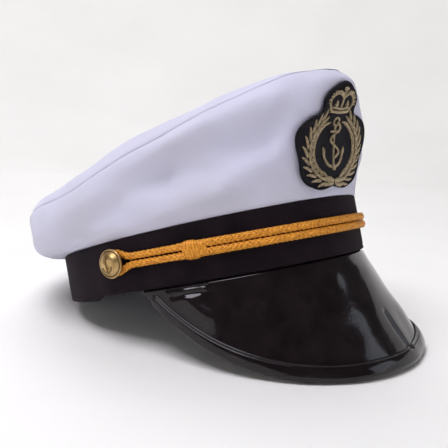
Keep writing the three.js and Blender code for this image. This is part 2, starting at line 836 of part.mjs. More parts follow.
// Stock, ring and rope, in shares of the anchor's width and height
const anchorShares = { stockHalf: 0.21, stockUp: 0.78, ring: 0.124, ropeSwing: 0.208, ropeFoot: 0.2 };
const flukeTurn = 12;
const ringSteps = 8;
const ropeSteps = 10;
const ropeTurns = 1.5;

function makeAnchor() {
  const top = anchorFootUp + anchorHeight;
  const base = anchorFootUp + anchorThread;
  const half = anchorWidth / 2;
  const stockUp = anchorFootUp + anchorShares.stockUp * anchorHeight;
  const stockHalf = anchorShares.stockHalf * anchorWidth;
  const ringRadius = anchorShares.ring * anchorWidth;
  const ring = Array.from({ length: ringSteps + 1 }, (_, i) => {
    const turn = (i / ringSteps) * 2 * Math.PI;
    return [ringRadius * Math.sin(turn), top - ringRadius * Math.cos(turn)];
  });
  const rope = Array.from({ length: ropeSteps + 1 }, (_, i) => {
    const swing = Math.sin((i / ropeSteps) * ropeTurns * 2 * Math.PI);
    const ropeFoot = anchorFootUp + anchorShares.ropeFoot * anchorHeight;
    return [anchorShares.ropeSwing * anchorWidth * swing, lerp(top, ropeFoot, i / ropeSteps)];
  });
  const shapes = [
    flatTube([[0, base], [0, lerp(base, top, 0.5)], [0, top - ringRadius]], anchorThread),
    flatTube([[-stockHalf, stockUp], [stockHalf, stockUp]], anchorThread),
    flatTube(ring, ringThread),
    flatTube(rope, ropeThread),
    grain(0, base, 2 * anchorThread, anchorBaseWidth, 0),
  ];
  for (const side of [1, -1]) {
    const arm = anchorArm.map((row) => [side * row.across * half, base + row.up * half]);
    shapes.push(flatTube(arm, anchorThread));
    shapes.push(grain(side * half, base + half, flukeLength, flukeWidth, side * degToRad(flukeTurn)));
  }
  return layOnBadge(shapes, bullionThread, "badge_anchor");
}

const emblemWidth = 22;
const emblemHeight = 13;
const emblemFootUp = 42.6;
const emblemRimThread = 2.4;
const emblemBandThread = 1.4;
const emblemPostThread = 1.6;
const emblemArchThread = 1.9;
const emblemJewel = 3.4;

// The threads of the small crown, in shares of half its width and of its height
const emblemRim = [
  { across: -0.72, up: 0 },
  { across: 0, up: -0.06 },
  { across: 0.72, up: 0 },
];
const emblemBand = [
  { across: -0.68, up: 0.17 },
  { across: 0, up: 0.1 },
  { across: 0.68, up: 0.17 },
];
const emblemPost = [
  { across: 0, up: 0 },
  { across: 0, up: 0.5 },
  { across: 0, up: 0.86 },
];
const emblemArch = [
  { across: 0.68, up: 0 },
  { across: 0.95, up: 0.42 },
  { across: 0.72, up: 0.7 },
  { across: 0.32, up: 0.74 },
  { across: 0, up: 0.58 },
];

function makeEmblemCrown() {
  const half = emblemWidth / 2;
  const onEmblem = (row, side) => [side * row.across * half, emblemFootUp + row.up * emblemHeight];
  const thread = (rows, side, width) => flatTube(rows.map((row) => onEmblem(row, side)), width);
  const jewel = (across, up, side, length, width) => {
    const [x, y] = onEmblem({ across, up }, side);
    return grain(x, y, length, width, 0);
  };
  const shapes = [
    thread(emblemRim, 1, emblemRimThread),
    thread(emblemBand, 1, emblemBandThread),
    thread(emblemPost, 1, emblemPostThread),
    jewel(0, 0.9, 1, emblemJewel, emblemJewel / 2),
    jewel(0, 0.93, 1, emblemJewel * 0.4, emblemJewel),
  ];
  for (const side of [1, -1]) {
    shapes.push(thread(emblemArch, side, emblemArchThread));
    shapes.push(jewel(0.42, 0.32, side, emblemJewel, emblemJewel * 0.75));
    shapes.push(jewel(0.42, 0.16, side, emblemJewel * 0.7, emblemJewel * 0.4));
  }
  return layOnBadge(shapes, bullionThread, "badge_crown");
}

// The whole cap, tilted as it rests, with the cloth of the band flat on the surface

const cap = new THREE.Group();
cap.add(makeCrownSide());
cap.add(makeCrownTop());
cap.add(makeBand());
cap.add(makePeak());
cap.add(makeBinding());
cap.add(makeCord());
cap.add(makeKnot(knotAngle, "knot_right"));
cap.add(makeKnot(-knotAngle, "knot_left"));
cap.add(makeButton(buttonAngle, "button_right"));
cap.add(makeButton(-buttonAngle, "button_left"));
cap.add(makePatch());
cap.add(makeWreath());
cap.add(makeAnchor());
cap.add(makeEmblemCrown());

const geometryOf = (name) => cap.children.find((mesh) => mesh.name === name).geometry;

// The cap tips back until the peak's rim and the foot of the band's flat both touch
function restTilt() {
  const rim = geometryOf("peak_binding").attributes.position;
  const flatFrom = bandHalfLength - flatBandDepth;
  let tilt = 0;
  for (let i = 0; i < rim.count; i++) {
    tilt = Math.max(tilt, Math.atan2(-rim.getZ(i), flatFrom - rim.getY(i)));
  }
  return tilt;
}

function tiltAndLift() {
  const tilt = new THREE.Matrix4().makeRotationX(-restTilt());
  for (const mesh of cap.children) mesh.geometry.applyMatrix4(tilt);
  const rim = geometryOf("peak_binding");
  rim.computeBoundingBox();
  const lift = -rim.boundingBox.min.z;
  for (const mesh of cap.children) mesh.geometry.translate(0, 0, lift);
}

function flattenBand() {
  const spots = geometryOf("hat_band").attributes.position;
  for (let i = 0; i < spots.count; i++) spots.setZ(i, Math.max(spots.getZ(i), 0));
}

// The origin is below the middle of the cap's box
function centreCap() {
  const middle = new THREE.Box3().setFromObject(cap).getCenter(point(0, 0, 0));
  for (const mesh of cap.children) {
    mesh.geometry.translate(-middle.x, -middle.y, 0);
    mesh.geometry.computeVertexNormals();
  }
}

tiltAndLift();
flattenBand();
centreCap();

export default cap;
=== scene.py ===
# Sailor cap: white cloth crown, black band, glossy bound peak, gold cord with slide
# knots, brass buttons and an embroidered badge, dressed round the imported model.

import math

import bpy
import numpy as np
from mathutils import Matrix, Vector


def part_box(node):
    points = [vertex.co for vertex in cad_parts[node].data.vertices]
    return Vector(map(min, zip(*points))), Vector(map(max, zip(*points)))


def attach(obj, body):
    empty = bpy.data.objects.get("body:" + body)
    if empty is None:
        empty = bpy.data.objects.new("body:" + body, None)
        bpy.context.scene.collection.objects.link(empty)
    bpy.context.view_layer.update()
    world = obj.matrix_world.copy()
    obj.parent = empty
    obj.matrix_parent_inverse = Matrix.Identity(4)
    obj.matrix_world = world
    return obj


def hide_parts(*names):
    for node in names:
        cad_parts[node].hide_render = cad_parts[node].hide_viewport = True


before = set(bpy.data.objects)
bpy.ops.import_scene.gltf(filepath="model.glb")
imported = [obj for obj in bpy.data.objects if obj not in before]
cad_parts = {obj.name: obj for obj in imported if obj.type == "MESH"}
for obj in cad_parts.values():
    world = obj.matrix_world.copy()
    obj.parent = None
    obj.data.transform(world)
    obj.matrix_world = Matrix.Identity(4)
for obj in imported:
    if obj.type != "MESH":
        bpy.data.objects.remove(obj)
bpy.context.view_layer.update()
print("frame loaded")

mm = 0.001
gap = 0.3  # room between neighbours, in millimetres

# The cap's sizes are in millimetres, in its own upright frame: band level, front to -Y
band = {
    "halfWidth": 88.5, "halfLength": 96.2, "frontHeight": 32.8, "backHeight": 24.7,
    "wall": 2.2, "edgeRound": 0.9, "waviness": 0.2, "rows": 20,
    "sagAngles": [92, 98, 118, 138], "sagDrops": [0, 0.08, 0.05, 0],
    "hemUp": 2.3, "hemDepth": 0.35,
}
crown = {
    "halfWidth": 97, "frontReach": 112, "backReach": 123, "frontRise": 67.5, "sideRise": 30.2,
    "backRise": 27, "wall": 1.8, "hemDepth": 7, "narrowing": 0.39, "sharpness": 2.4,
    "columns": 312, "rows": 54, "seamRoll": 1.2, "seamDepth": 1.2, "puckerDepth": 0.3, "softness": 0.5,
    "seamAngles": [0, 10, 26, 46, 66, 92, 114], "seamWaves": [0, 0.009, 0.05, 0.041, 0.006, -0.039, 0],
}
panel = {
    "sideRise": 13, "middleRise": 10.7, "fullness": 9, "rings": 44,
    "angles": [0, 25, 45, 70, 92, 180], "shares": [0.38, 0.5, 0.85, 1.19, 0.96, 0.38],
    "seamGap": 0.06, "softness": 0.9,
}


def vec(x, y, z):
    return np.stack(np.broadcast_arrays(x, y, z), -1).astype(float)


def mix(a, b, t):
    return a + (b - a) * t


def smooth(x, low, high):
    t = np.clip((x - low) / (high - low), 0, 1)
    return t * t * (3 - 2 * t)


def unit(v):
    return v / np.maximum(np.linalg.norm(v, axis=-1, keepdims=True), 1e-12)


def smoothTable(at, keys, values):  # soft steps between the rows of a short table
    out = np.full(np.shape(at), float(values[0]))
    for k0, k1, v0, v1 in zip(keys, keys[1:], values, values[1:]):
        out = np.where(at > k0, mix(v0, v1, smooth(at, k0, k1)), out)
    return out


def softNoise(points, size, seed, waves=14):  # smooth seeded ripples, about -1 to 1
    rng = np.random.default_rng(seed)
    out = np.zeros(points.shape[:-1])
    for _ in range(waves):
        direction = unit(rng.normal(size=3))
        length = size * rng.uniform(0.6, 1.6)
        out += np.sin(points @ direction * (2 * np.pi / length) + rng.uniform(0, 2 * np.pi))
    return out / math.sqrt(waves / 2) / 1.6


def smoothPath(points, perSpan, closed=False):  # a curve through the points, evenly eased
    points = np.asarray(points, float)
    if closed:
        ends = np.concatenate([points[-1:], points, points[:2]])
    else:
        ends = np.concatenate([[2 * points[0] - points[1]], points, [2 * points[-1] - points[-2]]])
    t = np.linspace(0, 1, perSpan, endpoint=False)[:, None]
    spans = []
    for p0, p1, p2, p3 in zip(ends, ends[1:], ends[2:], ends[3:]):
        steps = (p1 - p0, p2 - p1, p3 - p2)
        d0, d1, d2 = (math.sqrt(max(np.linalg.norm(step), 1e-9)) for step in steps)
        m1 = ((p1 - p0) / d0 - (p2 - p0) / (d0 + d1) + (p2 - p1) / d1) * d1
        m2 = ((p2 - p1) / d1 - (p3 - p1) / (d1 + d2) + (p3 - p2) / d2) * d1
        a, b = 2 * p1 - 2 * p2 + m1 + m2, -3 * p1 + 3 * p2 - 2 * m1 - m2
        spans.append(((a * t + b) * t + m1) * t + p1)
    if not closed:
        spans.append(points[-1:])
    return np.concatenate(spans)


def lengthsAlong(points):  # from the first point to each one
    return np.concatenate([[0], np.cumsum(np.linalg.norm(np.diff(points, axis=0), axis=-1))])


def capAngle(theta):  # degrees from the front, the same on both sides
    return np.abs(np.degrees(np.arctan2(np.sin(theta), np.cos(theta))))


def roundTheCap(theta, front, side, back):
    c = np.cos(theta)
    return side + (front - back) / 2 * c + ((front + back) / 2 - side) * c * c


def bandOutward(theta):
    return unit(vec(-np.sin(theta) / band["halfWidth"], -np.cos(theta) / band["halfLength"], 0))


def bandPoint(theta, outward, z):
    onBand = vec(-band["halfWidth"] * np.sin(theta), -band["halfLength"] * np.cos(theta), z)
    return onBand + bandOutward(theta) * np.asarray(outward, float)[..., None]


def bandTop(theta):
    return mix(band["frontHeight"], band["backHeight"], (1 - np.cos(theta)) / 2)


def bandBottom(theta):
    return -smoothTable(capAngle(theta), band["sagAngles"], band["sagDrops"]) * band["frontHeight"]


# The cap tips back as it rests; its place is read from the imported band
tilt = math.radians(17.4)
bandLow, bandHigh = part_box("hat_band")
capShift = np.array([
    (bandLow.x + bandHigh.x) / 2 / mm,
    bandLow.y / mm + band["halfLength"] * math.cos(tilt),
    bandHigh.z / mm - band["halfLength"] * math.sin(tilt) - band["frontHeight"] * math.cos(tilt),
])


def toFrame(points):  # from the cap's own millimetres to the frame's metres
    x, y, z = points[..., 0], points[..., 1], points[..., 2]
    c, s = math.cos(tilt), math.sin(tilt)
    return (vec(x, y * c + z * s, z * c - y * s) + capShift) * mm


def fromFrame(points):  # and back
    x, y, z = np.moveaxis(points / mm - capShift, -1, 0)
    c, s = math.cos(tilt), math.sin(tilt)
    return vec(x, y * c - z * s, z * c + y * s)


# Meshes

def linkObject(name, mesh):
    piece = bpy.data.objects.new(name, mesh)
    bpy.context.scene.collection.objects.link(piece)
    return piece


def meshObject(name, points, faces, material, uvs=None):
    mesh = bpy.data.meshes.new(name)
    mesh.from_pydata(np.asarray(points).tolist(), [], [list(f) for f in faces])
    if uvs is not None:
        layer = mesh.uv_layers.new(name="clothUV")
        layer.data.foreach_set("uv", np.asarray(uvs, np.float32).ravel())
    mesh.materials.append(material)
    mesh.polygons.foreach_set("use_smooth", np.ones(len(mesh.polygons), bool))
    mesh.update()
    return linkObject(name, mesh)


def gridCells(rows, columns, closedRows, closedColumns):  # the row and column where each face starts
    i = np.arange(columns if closedColumns else columns - 1)
    j = np.arange(rows if closedRows else rows - 1)
    return np.meshgrid(j, i, indexing="ij")


def gridFaces(rows, columns, closedRows, closedColumns):
    j, i = gridCells(rows, columns, closedRows, closedColumns)
    nextJ, nextI = (j + 1) % rows, (i + 1) % columns
    a, b = j * columns + i, nextJ * columns + i
    c, d = j * columns + nextI, nextJ * columns + nextI
    return np.stack([a, b, d, c], -1).reshape(-1, 4)


def gridUvs(loop, closedRows, closedColumns):  # lengths in metres round the piece and across it
    rows, columns = loop.shape[:2]
    across = np.linalg.norm(np.diff(np.concatenate([loop, loop[:1]]), axis=0), axis=-1).mean(1)
    v = np.concatenate([[0], np.cumsum(across)])
    along = np.linalg.norm(np.diff(np.concatenate([loop, loop[:, :1]], 1), axis=1), axis=-1).max(0)
    u = np.concatenate([[0], np.cumsum(along)])
    j, i = gridCells(rows, columns, closedRows, closedColumns)
    corners = [(u[i], v[j]), (u[i], v[j + 1]), (u[i + 1], v[j + 1]), (u[i + 1], v[j])]
    return np.stack([np.stack(c, -1) for c in corners], 2).reshape(-1, 2)


def shellObject(name, outer, inner, closed, material):  # a wall between two grids of points
    loop = np.concatenate([outer, inner[::-1]])
    rows, columns = loop.shape[:2]
    faces = gridFaces(rows, columns, True, closed).tolist()
    uvs = gridUvs(loop, True, closed).tolist()
    if not closed:  # ladders close both ends
        for column, flip in ((0, True), (columns - 1, False)):
            for j in range(rows // 2 - 1):
                ring = [j, j + 1, rows - 2 - j, rows - 1 - j]
                faces.append([k * columns + column for k in (ring[::-1] if flip else ring)])
                uvs += [[0.0, 0.0]] * 4
    return meshObject(name, loop.reshape(-1, 3), faces, material, uvs)


def lensObject(name, front, back, poles, place, material, flip=False):  # two discs of rings share a rim
    rows, columns = front.shape[:2]
    start, last = rows * columns, (rows - 1) * columns
    points = np.concatenate([front.reshape(-1, 3), back.reshape(-1, 3), poles])
    pole = np.full(columns, len(points) - 2)
    i = np.arange(columns)
    k = (i + 1) % columns
    grid = gridFaces(rows, columns, False, True)
    parts = [grid, grid[:, ::-1] + start, np.stack([i, k, start + k, start + i], -1),
             np.stack([last + i, pole, last + k], -1),
             np.stack([start + last + i, start + last + k, pole + 1], -1)]
    faces = [face[::-1] if flip else face for part in parts for face in part.tolist()]
    flat = points[:, :2] * mm
    uvs = np.concatenate([flat[face] for face in faces])
    return meshObject(name, place(points), faces, material, uvs)


def gridNormals(rows, closed):  # outward, for rows that go up and columns that go clockwise
    if closed:
        along = np.roll(rows, -1, 1) - np.roll(rows, 1, 1)
    else:
        along = np.gradient(rows, axis=1)
    return unit(np.cross(np.gradient(rows, axis=0), along))


def finishPiece(piece, slot, *nodes):
    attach(piece, "root")
    if nodes:
        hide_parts(*nodes)
    return piece


# Nodes, for materials and for Geometry Nodes alike

def plug(node, sockets):  # each input gets a plain value or a link
    for key, value in sockets.items():
        if isinstance(value, bpy.types.NodeSocket):
            node.id_data.links.new(value, node.inputs[key])
        else:
            node.inputs[key].default_value = value
    return node


def addNode(tree, kind, sockets=None, **settings):
    node = tree.nodes.new(kind)
    for name, value in settings.items():
        setattr(node, name, value)
    return plug(node, sockets or {})


def mathNode(kind, operation, sockets):  # in the tree that its linked values come from
    tree = next(value.id_data for value in sockets.values() if isinstance(value, bpy.types.NodeSocket))
    return addNode(tree, kind, sockets, operation=operation).outputs[0]


def calc(operation, *values):
    return mathNode("ShaderNodeMath", operation, dict(enumerate(values)))


def plus(a, b):
    return calc("ADD", a, b)


def times(a, b):
    return calc("MULTIPLY", a, b)


def vectorCalc(operation, *values):
    return mathNode("ShaderNodeVectorMath", operation, dict(enumerate(values)))


def scaled(vector, factor):
    return mathNode("ShaderNodeVectorMath", "SCALE", {"Vector": vector, "Scale": factor})


# Materials

def newMaterial(name):
    material = bpy.data.materials.new(name)
    material.use_nodes = True
    tree = material.node_tree
    return material, tree, tree.nodes["Principled BSDF"]


def objectCoords(tree):
    return tree.nodes.new("ShaderNodeTexCoord").outputs["Object"]


def clothCoords(tree):
    return addNode(tree, "ShaderNodeUVMap", uv_map="clothUV").outputs["UV"]


def noiseAt(tree, coords, scale, detail=3.0, roughness=0.55, distortion=0.0):
    sockets = {"Vector": coords, "Scale": scale, "Detail": detail, "Roughness": roughness,
               "Distortion": distortion}
    return addNode(tree, "ShaderNodeTexNoise", sockets).outputs["Fac"]


def waveAt(tree, coords, period, direction, distortion=0.0, detailScale=1.0):
    reach = 0.31416 if direction in ("X", "Y", "Z") else 0.62832
    sockets = {"Vector": coords, "Scale": reach / period, "Distortion": distortion,
               "Detail": 2.0, "Detail Scale": detailScale}
    return addNode(tree, "ShaderNodeTexWave", sockets, bands_direction=direction).outputs["Fac"]


def colourBetween(tree, factor, low, high, fromValue=0.3, toValue=0.7):
    spread = addNode(tree, "ShaderNodeMapRange", {0: factor, 1: fromValue, 2: toValue}).outputs[0]
    sockets = {0: spread, 6: (*low, 1), 7: (*high, 1)}
    return addNode(tree, "ShaderNodeMix", sockets, data_type="RGBA").outputs[2]


def rangeBetween(tree, factor, low, high, fromValue=0.3, toValue=0.7):
    sockets = {0: factor, 1: fromValue, 2: toValue, 3: low, 4: high}
    return addNode(tree, "ShaderNodeMapRange", sockets).outputs[0]


def addBump(tree, surface, height, depth, strength=1.0):
    sockets = {"Height": height, "Distance": depth, "Strength": strength}
    bump = addNode(tree, "ShaderNodeBump", sockets).outputs["Normal"]
    plug(surface, {"Normal": bump})
    return bump


twill = {
    "shade": (0.60, 0.59, 0.69), "light": (0.65, 0.645, 0.80), "rib": 0.0011, "depth": 0.00012,
    "fuzz": 2600, "blotch": 16,
}


def makeTwill():
    material, tree, surface = newMaterial("whiteTwill")
    plug(surface, {"Roughness": 0.88, "Sheen Weight": 0.12, "Sheen Roughness": 0.5,
                   "Specular IOR Level": 0.2})
    cloth, place = clothCoords(tree), objectCoords(tree)
    tint = colourBetween(tree, noiseAt(tree, place, twill["blotch"]), twill["shade"], twill["light"])
    plug(surface, {"Base Color": tint})
    ribs = waveAt(tree, cloth, twill["rib"], "DIAGONAL", 0.6, 3.0)
    weft = waveAt(tree, cloth, twill["rib"] * 0.55, "Y", 0.4, 3.0)
    fuzz = noiseAt(tree, place, twill["fuzz"], 2.0)
    weave = plus(times(weft, 0.45), times(fuzz, 0.6))
    height = plus(ribs, weave)
    addBump(tree, surface, height, twill["depth"], 0.55)
    return material


mohair = {"deep": (0.005, 0.003, 0.005), "worn": (0.014, 0.008, 0.012), "rib": 0.0009, "depth": 0.00022}


def makeMohair():
    material, tree, surface = newMaterial("blackMohair")
    plug(surface, {"Roughness": 0.85, "Sheen Weight": 0.06, "Sheen Roughness": 0.35,
                   "Sheen Tint": (0.7, 0.5, 0.6, 1), "Specular IOR Level": 0.12})
    cloth, place = clothCoords(tree), objectCoords(tree)
    tint = colourBetween(tree, noiseAt(tree, place, 60), mohair["deep"], mohair["worn"])
    plug(surface, {"Base Color": tint})
    ribs = waveAt(tree, cloth, mohair["rib"], "Y", 0.5, 4.0)
    floats = waveAt(tree, cloth, mohair["rib"] * 0.8, "X", 1.2, 4.0)
    fuzz = noiseAt(tree, place, 2200, 3.0)
    height = plus(times(ribs, floats), times(fuzz, 0.7))
    addBump(tree, surface, height, mohair["depth"], 0.8)
    return material


vinyl = {"deep": (0.005, 0.003, 0.004), "worn": (0.012, 0.008, 0.009), "gloss": 0.08, "haze": 0.2}


def makeVinyl():
    material, tree, surface = newMaterial("patentBlack")
    plug(surface, {"IOR": 1.5, "Coat Weight": 0.3, "Coat Roughness": 0.05, "Specular IOR Level": 0.25})
    place = objectCoords(tree)
    tint = colourBetween(tree, noiseAt(tree, place, 90, 4.0), vinyl["deep"], vinyl["worn"])
    plug(surface, {"Base Color": tint})
    cloudy = noiseAt(tree, place, 38, 6.0, 0.62)
    scuffs = noiseAt(tree, place, 420, 2.0, 0.5, 1.2)
    haze = times(cloudy, scuffs)
    rough = rangeBetween(tree, haze, vinyl["gloss"], vinyl["haze"], 0.18, 0.42)
    plug(surface, {"Roughness": rough})
    peel = noiseAt(tree, place, 240, 2.0)
    grain = noiseAt(tree, place, 1500, 2.0)
    height = plus(peel, times(grain, 0.16))
    bump = addBump(tree, surface, height, 0.00018, 0.32)
    plug(surface, {"Coat Normal": bump})
    return material


def threadHeight(tree, strands, twist):  # fine filaments that run round a thread as they go along it
    around = addNode(tree, "ShaderNodeAttribute", attribute_name="round").outputs["Vector"]
    along = addNode(tree, "ShaderNodeAttribute", attribute_name="along").outputs["Fac"]
    parts = addNode(tree, "ShaderNodeSeparateXYZ", {0: around}).outputs
    turn = calc("ARCTAN2", parts["Y"], parts["X"])
    return calc("SINE", plus(times(turn, float(strands)), times(along, twist)))


braidFinish = {"deep": (0.50, 0.17, 0.010), "light": (0.95, 0.43, 0.05), "strands": 5, "twist": 5200}


def makeGoldBraid():
    material, tree, surface = newMaterial("goldBraid")
    plug(surface, {"Metallic": 0.3, "Specular IOR Level": 0.4, "Sheen Weight": 0.08,
                   "Sheen Roughness": 0.3, "Sheen Tint": (1, 0.75, 0.4, 1)})
    place = objectCoords(tree)
    lines = threadHeight(tree, braidFinish["strands"], braidFinish["twist"])
    mottle = noiseAt(tree, place, 700, 3.0)
    # painted shade: the colour is darker in the grooves between filaments, where the filament lines run
    # low; the mottle varies the tone at random
    shade = plus(times(lines, 0.1), mottle)
    tint = colourBetween(tree, shade, braidFinish["deep"], braidFinish["light"])
    plug(surface, {"Base Color": tint})
    plug(surface, {"Roughness": rangeBetween(tree, mottle, 0.32, 0.55)})
    addBump(tree, surface, plus(lines, mottle), 0.00007, 0.7)
    return material


bullionFinish = {"deep": (0.14, 0.10, 0.055), "light": (0.58, 0.47, 0.30), "twist": 14000}


def makeBullion():
    material, tree, surface = newMaterial("paleBullion")
    plug(surface, {"Metallic": 0.55, "Specular IOR Level": 0.6})
    place = objectCoords(tree)
    lines = threadHeight(tree, 1, bullionFinish["twist"])
    mottle = noiseAt(tree, place, 900, 3.0)
    tint = colourBetween(tree, mottle, bullionFinish["deep"], bullionFinish["light"], 0.25, 0.6)
    plug(surface, {"Base Color": tint})
    plug(surface, {"Roughness": rangeBetween(tree, mottle, 0.3, 0.5)})
    addBump(tree, surface, lines, 0.00004, 0.5)
    return material


feltFinish = {"deep": (0.004, 0.004, 0.006), "light": (0.015, 0.012, 0.018)}


def makeDarkFelt():
    material, tree, surface = newMaterial("darkFelt")
    plug(surface, {"Roughness": 0.95, "Sheen Weight": 0.08, "Specular IOR Level": 0.15})
    place = objectCoords(tree)
    hairs = noiseAt(tree, place, 1500, 4.0, 0.7, 0.8)
    tint = colourBetween(tree, noiseAt(tree, place, 260, 4.0), feltFinish["deep"], feltFinish["light"])
    plug(surface, {"Base Color": tint})
    addBump(tree, surface, hairs, 0.0004, 0.7)
    return material


brassFinish = {"bright": (0.60, 0.41, 0.18), "aged": (0.34, 0.21, 0.08), "recess": (0.05, 0.025, 0.010)}


def makeBrass():
    material, tree, surface = newMaterial("agedBrass")
    plug(surface, {"Metallic": 1.0})
    place = objectCoords(tree)
    wear = noiseAt(tree, place, 260, 5.0, 0.6)
    tint = colourBetween(tree, wear, brassFinish["aged"], brassFinish["bright"], 0.35, 0.55)
    hollow = addNode(tree, "ShaderNodeAttribute", attribute_name="recess").outputs["Fac"]
    sockets = {0: hollow, 6: tint, 7: (*brassFinish["recess"], 1)}
    aged = addNode(tree, "ShaderNodeMix", sockets, data_type="RGBA").outputs[2]
    plug(surface, {"Base Color": aged})
    rough = rangeBetween(tree, wear, 0.42, 0.26, 0.35, 0.6)
    plug(surface, {"Roughness": plus(rough, times(hollow, 0.25))})
    addBump(tree, surface, noiseAt(tree, place, 900, 3.0), 0.00005, 0.4)
    return material


floorFinish = {"low": (0.91, 0.90, 0.86), "high": (0.95, 0.94, 0.90)}


def makePaleFloor():
    material, tree, surface = newMaterial("paleFloor")
    plug(surface, {"Roughness": 0.7, "Specular IOR Level": 0.25})
    place = objectCoords(tree)
    tint = colourBetween(tree, noiseAt(tree, place, 5), floorFinish["low"], floorFinish["high"])
    plug(surface, {"Base Color": tint})
    addBump(tree, surface, noiseAt(tree, place, 300, 3.0), 0.0002, 0.2)
    return material


# Geometry Nodes: what repeats along a path

def newTree(name, sizes):
    tree = bpy.data.node_groups.new(name, "GeometryNodeTree")
    tree.interface.new_socket("Path", in_out="INPUT", socket_type="NodeSocketGeometry")
    for label, value in sizes.items():
        kind = "NodeSocketInt" if isinstance(value, int) else "NodeSocketFloat"
        tree.interface.new_socket(label, in_out="INPUT", socket_type=kind).default_value = value
    tree.interface.new_socket("Finish", in_out="INPUT", socket_type="NodeSocketMaterial")
    tree.interface.new_socket("Mesh", in_out="OUTPUT", socket_type="NodeSocketGeometry")
    return tree, tree.nodes.new("NodeGroupInput").outputs


def endTree(tree, given, geometry):
    real = addNode(tree, "GeometryNodeRealizeInstances", {0: geometry}).outputs[0]
    soft = addNode(tree, "GeometryNodeSetShadeSmooth", {0: real}).outputs[0]
    sockets = {"Geometry": soft, "Material": given["Finish"]}
    done = addNode(tree, "GeometryNodeSetMaterial", sockets).outputs[0]
    addNode(tree, "NodeGroupOutput", {0: done})
    return tree


def trait(tree, name, kind="FLOAT"):
    return addNode(tree, "GeometryNodeInputNamedAttribute", {"Name": name}, data_type=kind).outputs[0]


def keepTrait(tree, geometry, name, value, kind="FLOAT"):
    sockets = {"Geometry": geometry, "Name": name, "Value": value}
    node = addNode(tree, "GeometryNodeStoreNamedAttribute", sockets, data_type=kind, domain="POINT")
    return node.outputs[0]


def evenCurve(tree, given, step):
    curve = addNode(tree, "GeometryNodeMeshToCurve", {0: given["Path"]}).outputs[0]
    node = addNode(tree, "GeometryNodeResampleCurve", {"Curve": curve, "Length": step}, mode="LENGTH")
    length = tree.nodes.new("GeometryNodeSplineParameter").outputs["Length"]
    return node.outputs[0], length


def tubeRound(tree, curve, radius, sides, scale=1.0):
    sockets = {"Resolution": sides, "Radius": radius}
    circle = addNode(tree, "GeometryNodeCurvePrimitiveCircle", sockets).outputs[0]
    place = tree.nodes.new("GeometryNodeInputPosition").outputs[0]
    circle = keepTrait(tree, circle, "round", place, "FLOAT_VECTOR")
    sockets = {"Curve": curve, "Profile Curve": circle, "Scale": scale, "Fill Caps": True}
    return addNode(tree, "GeometryNodeCurveToMesh", sockets).outputs[0]


def makeBraidTree():  # plies cross over and under each other round a core
    sizes = {"Step": 0.0007, "Plies": 8, "Pitch": 0.0116, "Braid radius": 0.00128, "Weave": 0.0003,
             "Ply radius": 0.00082, "Core radius": 0.0012, "Sides": 6}
    tree, given = newTree("braidTree", sizes)
    curve, length = evenCurve(tree, given, given["Step"])
    copies = addNode(tree, "GeometryNodeDuplicateElements", {"Geometry": curve, "Amount": given["Plies"]},
                     domain="SPLINE").outputs
    plies = keepTrait(tree, copies[0], "along", length)
    index = copies[1]
    way = calc("SUBTRACT", 1.0, times(calc("MODULO", index, 2.0), 2.0))
    perWay = times(given["Plies"], 0.5)
    slot = calc("DIVIDE", calc("FLOOR", times(index, 0.5)), perWay)
    turns = calc("DIVIDE", length, given["Pitch"])
    angle = times(plus(times(way, turns), slot), 2 * math.pi)
    ripple = calc("COSINE", times(times(turns, perWay), 2 * math.pi))
    lift = times(times(way, ripple), given["Weave"])
    thick = trait(tree, "thickness")
    radius = times(plus(given["Braid radius"], lift), thick)
    tangent = tree.nodes.new("GeometryNodeInputTangent").outputs[0]
    normal = tree.nodes.new("GeometryNodeInputNormal").outputs[0]
    side = vectorCalc("CROSS_PRODUCT", tangent, normal)
    ahead = scaled(normal, times(radius, calc("COSINE", angle)))
    beside = scaled(side, times(radius, calc("SINE", angle)))
    offset = vectorCalc("ADD", ahead, beside)
    moved = addNode(tree, "GeometryNodeSetPosition", {"Geometry": plies, "Offset": offset}).outputs[0]
    braid = tubeRound(tree, moved, given["Ply radius"], given["Sides"], thick)
    core = tubeRound(tree, keepTrait(tree, curve, "along", length), given["Core radius"], given["Sides"])
    joined = addNode(tree, "GeometryNodeJoinGeometry")
    for part in (braid, core):
        tree.links.new(part, joined.inputs[0])
    return endTree(tree, given, joined.outputs[0])


def makeWindTree():  # a thread wound round a flat padded core
    sizes = {"Pitch": 0.0005, "Thread radius": 0.00027, "Steps": 12, "Lean": 0.0, "Vee": 0.0,
             "Underside": 1.0, "Sides": 5}
    tree, given = newTree("windTree", sizes)
    curve, length = evenCurve(tree, given, calc("DIVIDE", given["Pitch"], given["Steps"]))
    curve = keepTrait(tree, curve, "along", length)
    wide, deep, up = trait(tree, "halfWidth"), trait(tree, "halfDepth"), trait(tree, "lift", "FLOAT_VECTOR")
    turn = times(calc("DIVIDE", length, given["Pitch"]), 2 * math.pi)
    across, rise = calc("COSINE", turn), calc("SINE", turn)
    below = times(calc("MINIMUM", rise, 0.0), given["Underside"])
    rise = plus(calc("MAXIMUM", rise, 0.0), below)
    tangent = tree.nodes.new("GeometryNodeInputTangent").outputs[0]
    side = vectorCalc("NORMALIZE", vectorCalc("CROSS_PRODUCT", tangent, up))
    reach = times(wide, across)
    slant = calc("SUBTRACT", times(reach, given["Lean"]), times(calc("ABSOLUTE", reach), given["Vee"]))
    offset = vectorCalc("ADD", scaled(side, reach), scaled(up, times(deep, rise)))
    offset = vectorCalc("ADD", offset, scaled(tangent, slant))
    moved = addNode(tree, "GeometryNodeSetPosition", {"Geometry": curve, "Offset": offset}).outputs[0]
    return endTree(tree, given, tubeRound(tree, moved, given["Thread radius"], given["Sides"]))


